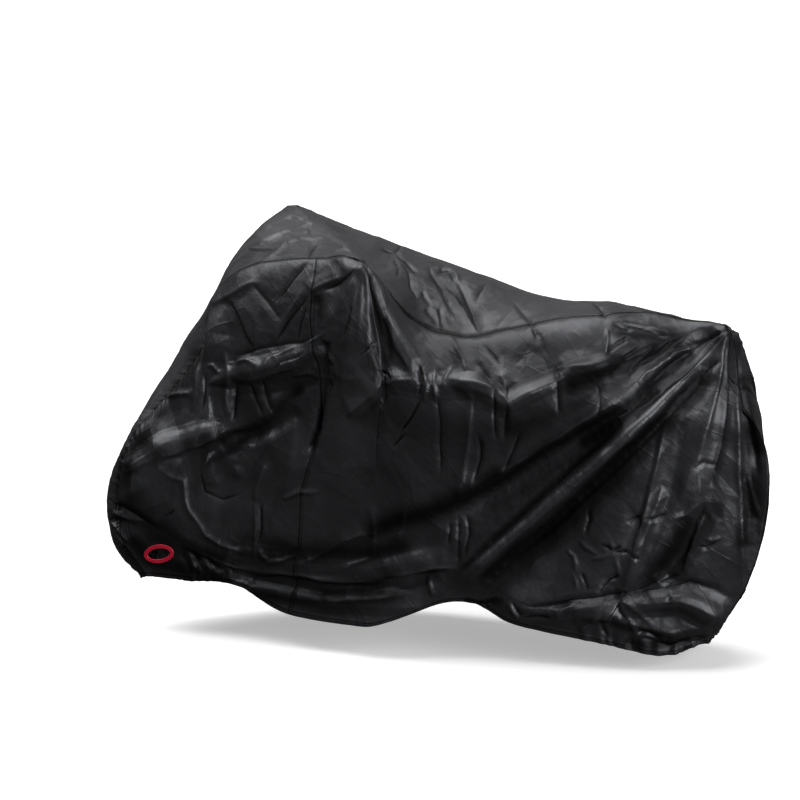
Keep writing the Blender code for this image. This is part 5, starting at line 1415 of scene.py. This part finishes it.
class Shading:
    """A material's nodes, added and linked one by one."""

    def __init__(self, name):
        self.material = bpy.data.materials.new(name)
        self.material.use_nodes = True
        self.tree = self.material.node_tree
        self.shader = self.tree.nodes["Principled BSDF"]

    def add(self, kind, inputs=(), **settings):
        """A node with its settings, its inputs given as values or as outputs to link."""
        node = self.tree.nodes.new("ShaderNode" + kind)
        for setting, value in settings.items():
            setattr(node, setting, value)
        for name, value in dict(inputs).items():
            self.give(node.inputs[name], value)
        return node

    def give(self, socket, value):
        """Sets a socket to a value, or links an output to it."""
        if isinstance(value, bpy.types.NodeSocket):
            self.tree.links.new(value, socket)
        else:
            socket.default_value = value

    def noise(self, vector, scale, detail, output="Fac"):
        node = self.add("TexNoise", {"Vector": vector, "Scale": scale, "Detail": detail})
        return node.outputs[output]

    def bump(self, height, strength, distance, normal=None):
        """Raises the shader's surface by a height, over its own normal or a given one."""
        node = self.add("Bump", {"Strength": strength, "Distance": distance, "Height": height})
        if normal is not None:
            self.give(node.inputs["Normal"], normal)
        self.give(self.shader.inputs["Normal"], node.outputs["Normal"])

    def ranged(self, value, low, high, out_low, out_high):
        """A value mapped from one range to another."""
        inputs = {"Value": value, "From Min": low, "From Max": high, "To Min": out_low,
                  "To Max": out_high}
        return self.add("MapRange", inputs).outputs["Result"]

    def tint(self, value, dark, light):
        """A colour between two tones."""
        ramp = self.add("ValToRGB", {"Fac": value})
        ramp.color_ramp.elements[0].color = (*dark, 1.0)
        ramp.color_ramp.elements[1].color = (*light, 1.0)
        return ramp.outputs["Color"]

    def vector(self, operation, first, second):
        node = self.add("VectorMath", operation=operation)
        self.give(node.inputs[0], first)
        if operation == "SCALE":
            self.give(node.inputs["Scale"], second)
        elif second is not None:
            self.give(node.inputs[1], second)
        return node.outputs["Vector"]

    def math(self, operation, first, second):
        node = self.add("Math", operation=operation)
        self.give(node.inputs[0], first)
        self.give(node.inputs[1], second)
        return node.outputs["Value"]


def cloth_material():
    """Black coated nylon: crisp small facets and hairline creases over a fine crinkle."""
    shading = Shading("black_coated_nylon")
    cloth = shading.add("Attribute", attribute_name="cloth").outputs["Vector"]
    bend = shading.noise(cloth, *BEND_NOISE, "Color")
    bent = shading.vector("ADD", cloth, shading.vector("SCALE", bend, CLOTH_BEND))
    normal = shading.add("NewGeometry").outputs["Normal"]
    height = shading.math("MULTIPLY", shading.noise(cloth, *CRINKLE_NOISE), CRINKLE_HEIGHT)
    for (along, down, tilt, line_width, line_height), where in zip(CLOTH_FACETS, HAIRLINE_NOISES):
        cells = shading.vector("MULTIPLY", bent, (1.0 / along, 1.0 / down, 1.0))
        facets = shading.add("TexVoronoi", {"Vector": cells, "Scale": 1.0})
        turn = shading.vector("SUBTRACT", facets.outputs["Color"], (0.5, 0.5, 0.5))
        normal = shading.vector("ADD", normal, shading.vector("SCALE", turn, tilt))
        edges = shading.add("TexVoronoi", {"Vector": cells, "Scale": 1.0},
                            feature="DISTANCE_TO_EDGE")
        line = shading.ranged(edges.outputs["Distance"], 0.0, line_width / min(along, down),
                              line_height, 0.0)
        shown = shading.ranged(shading.noise(cloth, *where), *HAIRLINES_SHOWN, 0.0, 1.0)
        height = shading.math("ADD", height, shading.math("MULTIPLY", line, shown))
    shading.bump(height, 1.0, 1.0, shading.vector("NORMALIZE", normal, None))
    mottle = shading.tint(shading.noise(cloth, *MOTTLE_NOISE), *CLOTH_TONES)
    # Painted shade and painted light: the line attribute darkens or lightens the base colour and
    # lowers or raises the gloss
    line = shading.add("Attribute", attribute_name="line").outputs["Fac"]
    tone = shading.vector("SCALE", mottle, shading.ranged(line, -1.0, 1.0, *PAINTED_SHADE_TONES))
    shading.give(shading.shader.inputs["Base Color"], tone)
    shading.shader.inputs["Specular Tint"].default_value = SHEEN_TINT
    shading.give(shading.shader.inputs["Specular IOR Level"],
                 shading.ranged(line, *PAINTED_SHADE_SPECULAR_SPAN, *PAINTED_SHADE_SPECULAR))
    dull = shading.noise(cloth, *ROUGHNESS_NOISE)
    shading.give(shading.shader.inputs["Roughness"],
                 shading.ranged(dull, *ROUGHNESS_SPAN, *CLOTH_ROUGHNESS))
    return shading.material


def thread_material():
    """Dark twisted thread."""
    shading = Shading("dark_thread")
    place = shading.add("TexCoord").outputs["Object"]
    twist = shading.noise(place, *TWIST_NOISE)
    shading.give(shading.shader.inputs["Base Color"], shading.tint(twist, *THREAD_TONES))
    shading.bump(twist, *THREAD_BUMP)
    shading.shader.inputs["Roughness"].default_value = THREAD_ROUGHNESS
    return shading.material


def eyelet_material():
    """Red soft plastic with a fine grain."""
    shading = Shading("red_soft_plastic")
    place = shading.add("TexCoord").outputs["Object"]
    shading.give(shading.shader.inputs["Base Color"],
                 shading.tint(shading.noise(place, *DYE_NOISE), *EYELET_TONES))
    shading.bump(shading.noise(place, *GRAIN_NOISE), *EYELET_BUMP)
    shading.shader.inputs["Roughness"].default_value = EYELET_ROUGHNESS
    return shading.material


def new_object(name, mesh_name, points, faces, material):
    """An object of one material in the scene; its points are in the tables' coordinates."""
    mesh = bpy.data.meshes.new(mesh_name)
    mesh.from_pydata((points - ORIGIN).tolist(), [], faces.tolist())
    mesh.materials.append(material)
    return link(bpy.data.objects.new(name, mesh))


def add_piece(name, points, faces, material, cover):
    """A cloth piece from its faces of the welded grid."""
    used = np.unique(faces)
    number = np.zeros(len(points), int)
    number[used] = np.arange(len(used))
    piece = new_object(name + "_cloth", name, points[used], number[faces], material)
    places = piece.data.attributes.new("cloth", "FLOAT_VECTOR", "POINT")
    places.data.foreach_set("vector", cover.cloth[used].astype(np.float32).ravel())
    # the line attribute carries the cloth's painted shade and painted light
    lines = piece.data.attributes.new("line", "FLOAT", "POINT")
    lines.data.foreach_set("value", cover.lines[used].astype(np.float32))
    piece.data.shade_smooth()
    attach(piece, "root")
    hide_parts(name)
    return piece


# ======================================================================= stitches and eyelets

def away_lines(points, normals, index, distance):
    """The line at a distance from a grid's first column, and the cloth's normals along it."""
    grid = points[index]
    lengths = run_lengths(grid, 1)
    column = np.clip((lengths <= distance).sum(axis=1) - 1, 0, index.shape[1] - 2)
    row = np.arange(len(index))
    before = lengths[row, column]
    f = np.clip((distance - before) / (lengths[row, column + 1] - before), 0.0, 1.0)[:, None]
    line = (1 - f) * grid[row, column] + f * grid[row, column + 1]
    facing = (1 - f) * normals[index[row, column]] + f * normals[index[row, column + 1]]
    return line, facing


def stitch_row(line, facing):
    """Corners of the stitches along a line: (stitch, corner, axis)."""
    places = path_places(line)
    middles = np.arange(STITCH_PITCH, places[-1] - STITCH_PITCH, STITCH_PITCH)

    def along(values, at):
        return np.stack([np.interp(at, places, values[:, axis]) for axis in range(3)], axis=1)

    start, end = (along(line, middles + side * STITCH_LENGTH / 2) for side in (-1.0, 1.0))
    up = along(facing, middles)
    up /= np.linalg.norm(up, axis=1)[:, None]
    across = np.cross(up, end - start)
    across *= STITCH_WIDTH / 2 / np.linalg.norm(across, axis=1)[:, None]
    middle = along(line, middles)
    rise, sink = up * STITCH_RISE, up * STITCH_SINK
    return np.stack((start - sink, middle + across, end - sink, middle - across, middle + rise,
                     middle - sink), axis=1)


def add_stitches(name, rows, material):
    """All the stitches of some rows as one piece."""
    corners = np.concatenate([stitch_row(*row) for row in rows])
    faces = np.array([(0, 1, 4), (1, 2, 4), (2, 3, 4), (3, 0, 4),
                      (1, 0, 5), (2, 1, 5), (3, 2, 5), (0, 3, 5)])
    first = np.arange(len(corners))[:, None, None] * corners.shape[1]
    piece = new_object(name, name, corners.reshape(-1, 3), (first + faces).reshape(-1, 3),
                       material)
    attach(piece, "root")


def seam_rows(cover, points, normals, side):
    """The stitched rows of one side: along its top seam, its side seam and its hem."""
    panel = cover.left if side == "left" else cover.right
    strip = cover.strip if side == "left" else cover.strip[:, ::-1]
    split = cover.seam - cover.nose
    hem = panel[:, ::-1]
    return {
        "top": [away_lines(points, normals, strip, distance) for distance in SEAM_STITCHES],
        "side": [away_lines(points, normals, panel[split:].T, distance)
                 for distance in SEAM_STITCHES],
        "hem": [away_lines(points, normals, hem, distance) for distance in HEM_STITCHES],
    }


def oval(angle, inset):
    """(along, across) on an eyelet's oval, moved in from its outer edge."""
    half_length, half_height = EYELET_LENGTH / 2, EYELET_HEIGHT / 2
    along, across = half_length * np.cos(angle), half_height * np.sin(angle)
    inward = np.stack((-np.cos(angle) / half_length, -np.sin(angle) / half_height), axis=-1)
    inward /= np.linalg.norm(inward, axis=-1, keepdims=True)
    return along + inset * inward[..., 0], across + inset * inward[..., 1]


def add_eyelet(name, seat, material):
    """An oval plastic ring: a rounded band with a shallow groove and a raised inner lip."""
    angle = np.linspace(0.0, 2.0 * math.pi, EYELET_STEPS, endpoint=False)
    points = []
    for inset_share, height_share in EYELET_SECTION:
        along, across = oval(angle, inset_share * EYELET_BAND)
        height = height_share * EYELET_THICKNESS / 2
        points.append(seat.centre + along[:, None] * seat.long_axis
                      + across[:, None] * seat.short_axis + height * seat.normal)
    count = len(points)
    ring = np.arange(count)[:, None] * EYELET_STEPS
    step = np.arange(EYELET_STEPS)[None]
    after = (step + 1) % EYELET_STEPS
    following = np.roll(ring, -1, axis=0)
    faces = np.stack((ring + step, ring + after, following + after, following + step), axis=-1)
    piece = new_object(name + "_ring", name, np.concatenate(points), faces.reshape(-1, 4),
                       material)
    piece.data.shade_smooth()
    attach(piece, "root")
    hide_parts(name)


# ======================================================================= the cover

make_camera()
make_lights()
make_floor()
cover = Cover()
seats = {eyelet_name: EyeletSeat(eyelet_name, outward) for eyelet_name, outward in EYELETS}
cloth_points = hang_cloth(cover, seats)
cloth_normals = vertex_normals(cloth_points, cover.every_face)

material = cloth_material()
for piece_name, piece_faces in cover.faces.items():
    for seat in seats.values():
        covered = seat.inside(cloth_points, EYELET_HOLE_INSET)
        piece_faces = piece_faces[~covered[piece_faces].all(axis=1)]
    add_piece(piece_name, cloth_points, piece_faces, material, cover)

thread = thread_material()
rows = [seam_rows(cover, cloth_points, cloth_normals, side) for side in ("left", "right")]
for seam in ("top", "side", "hem"):
    add_stitches(seam + "_stitches", rows[0][seam] + rows[1][seam], thread)

plastic = eyelet_material()
for eyelet_name, seat in seats.items():
    add_eyelet(eyelet_name, seat, plastic)
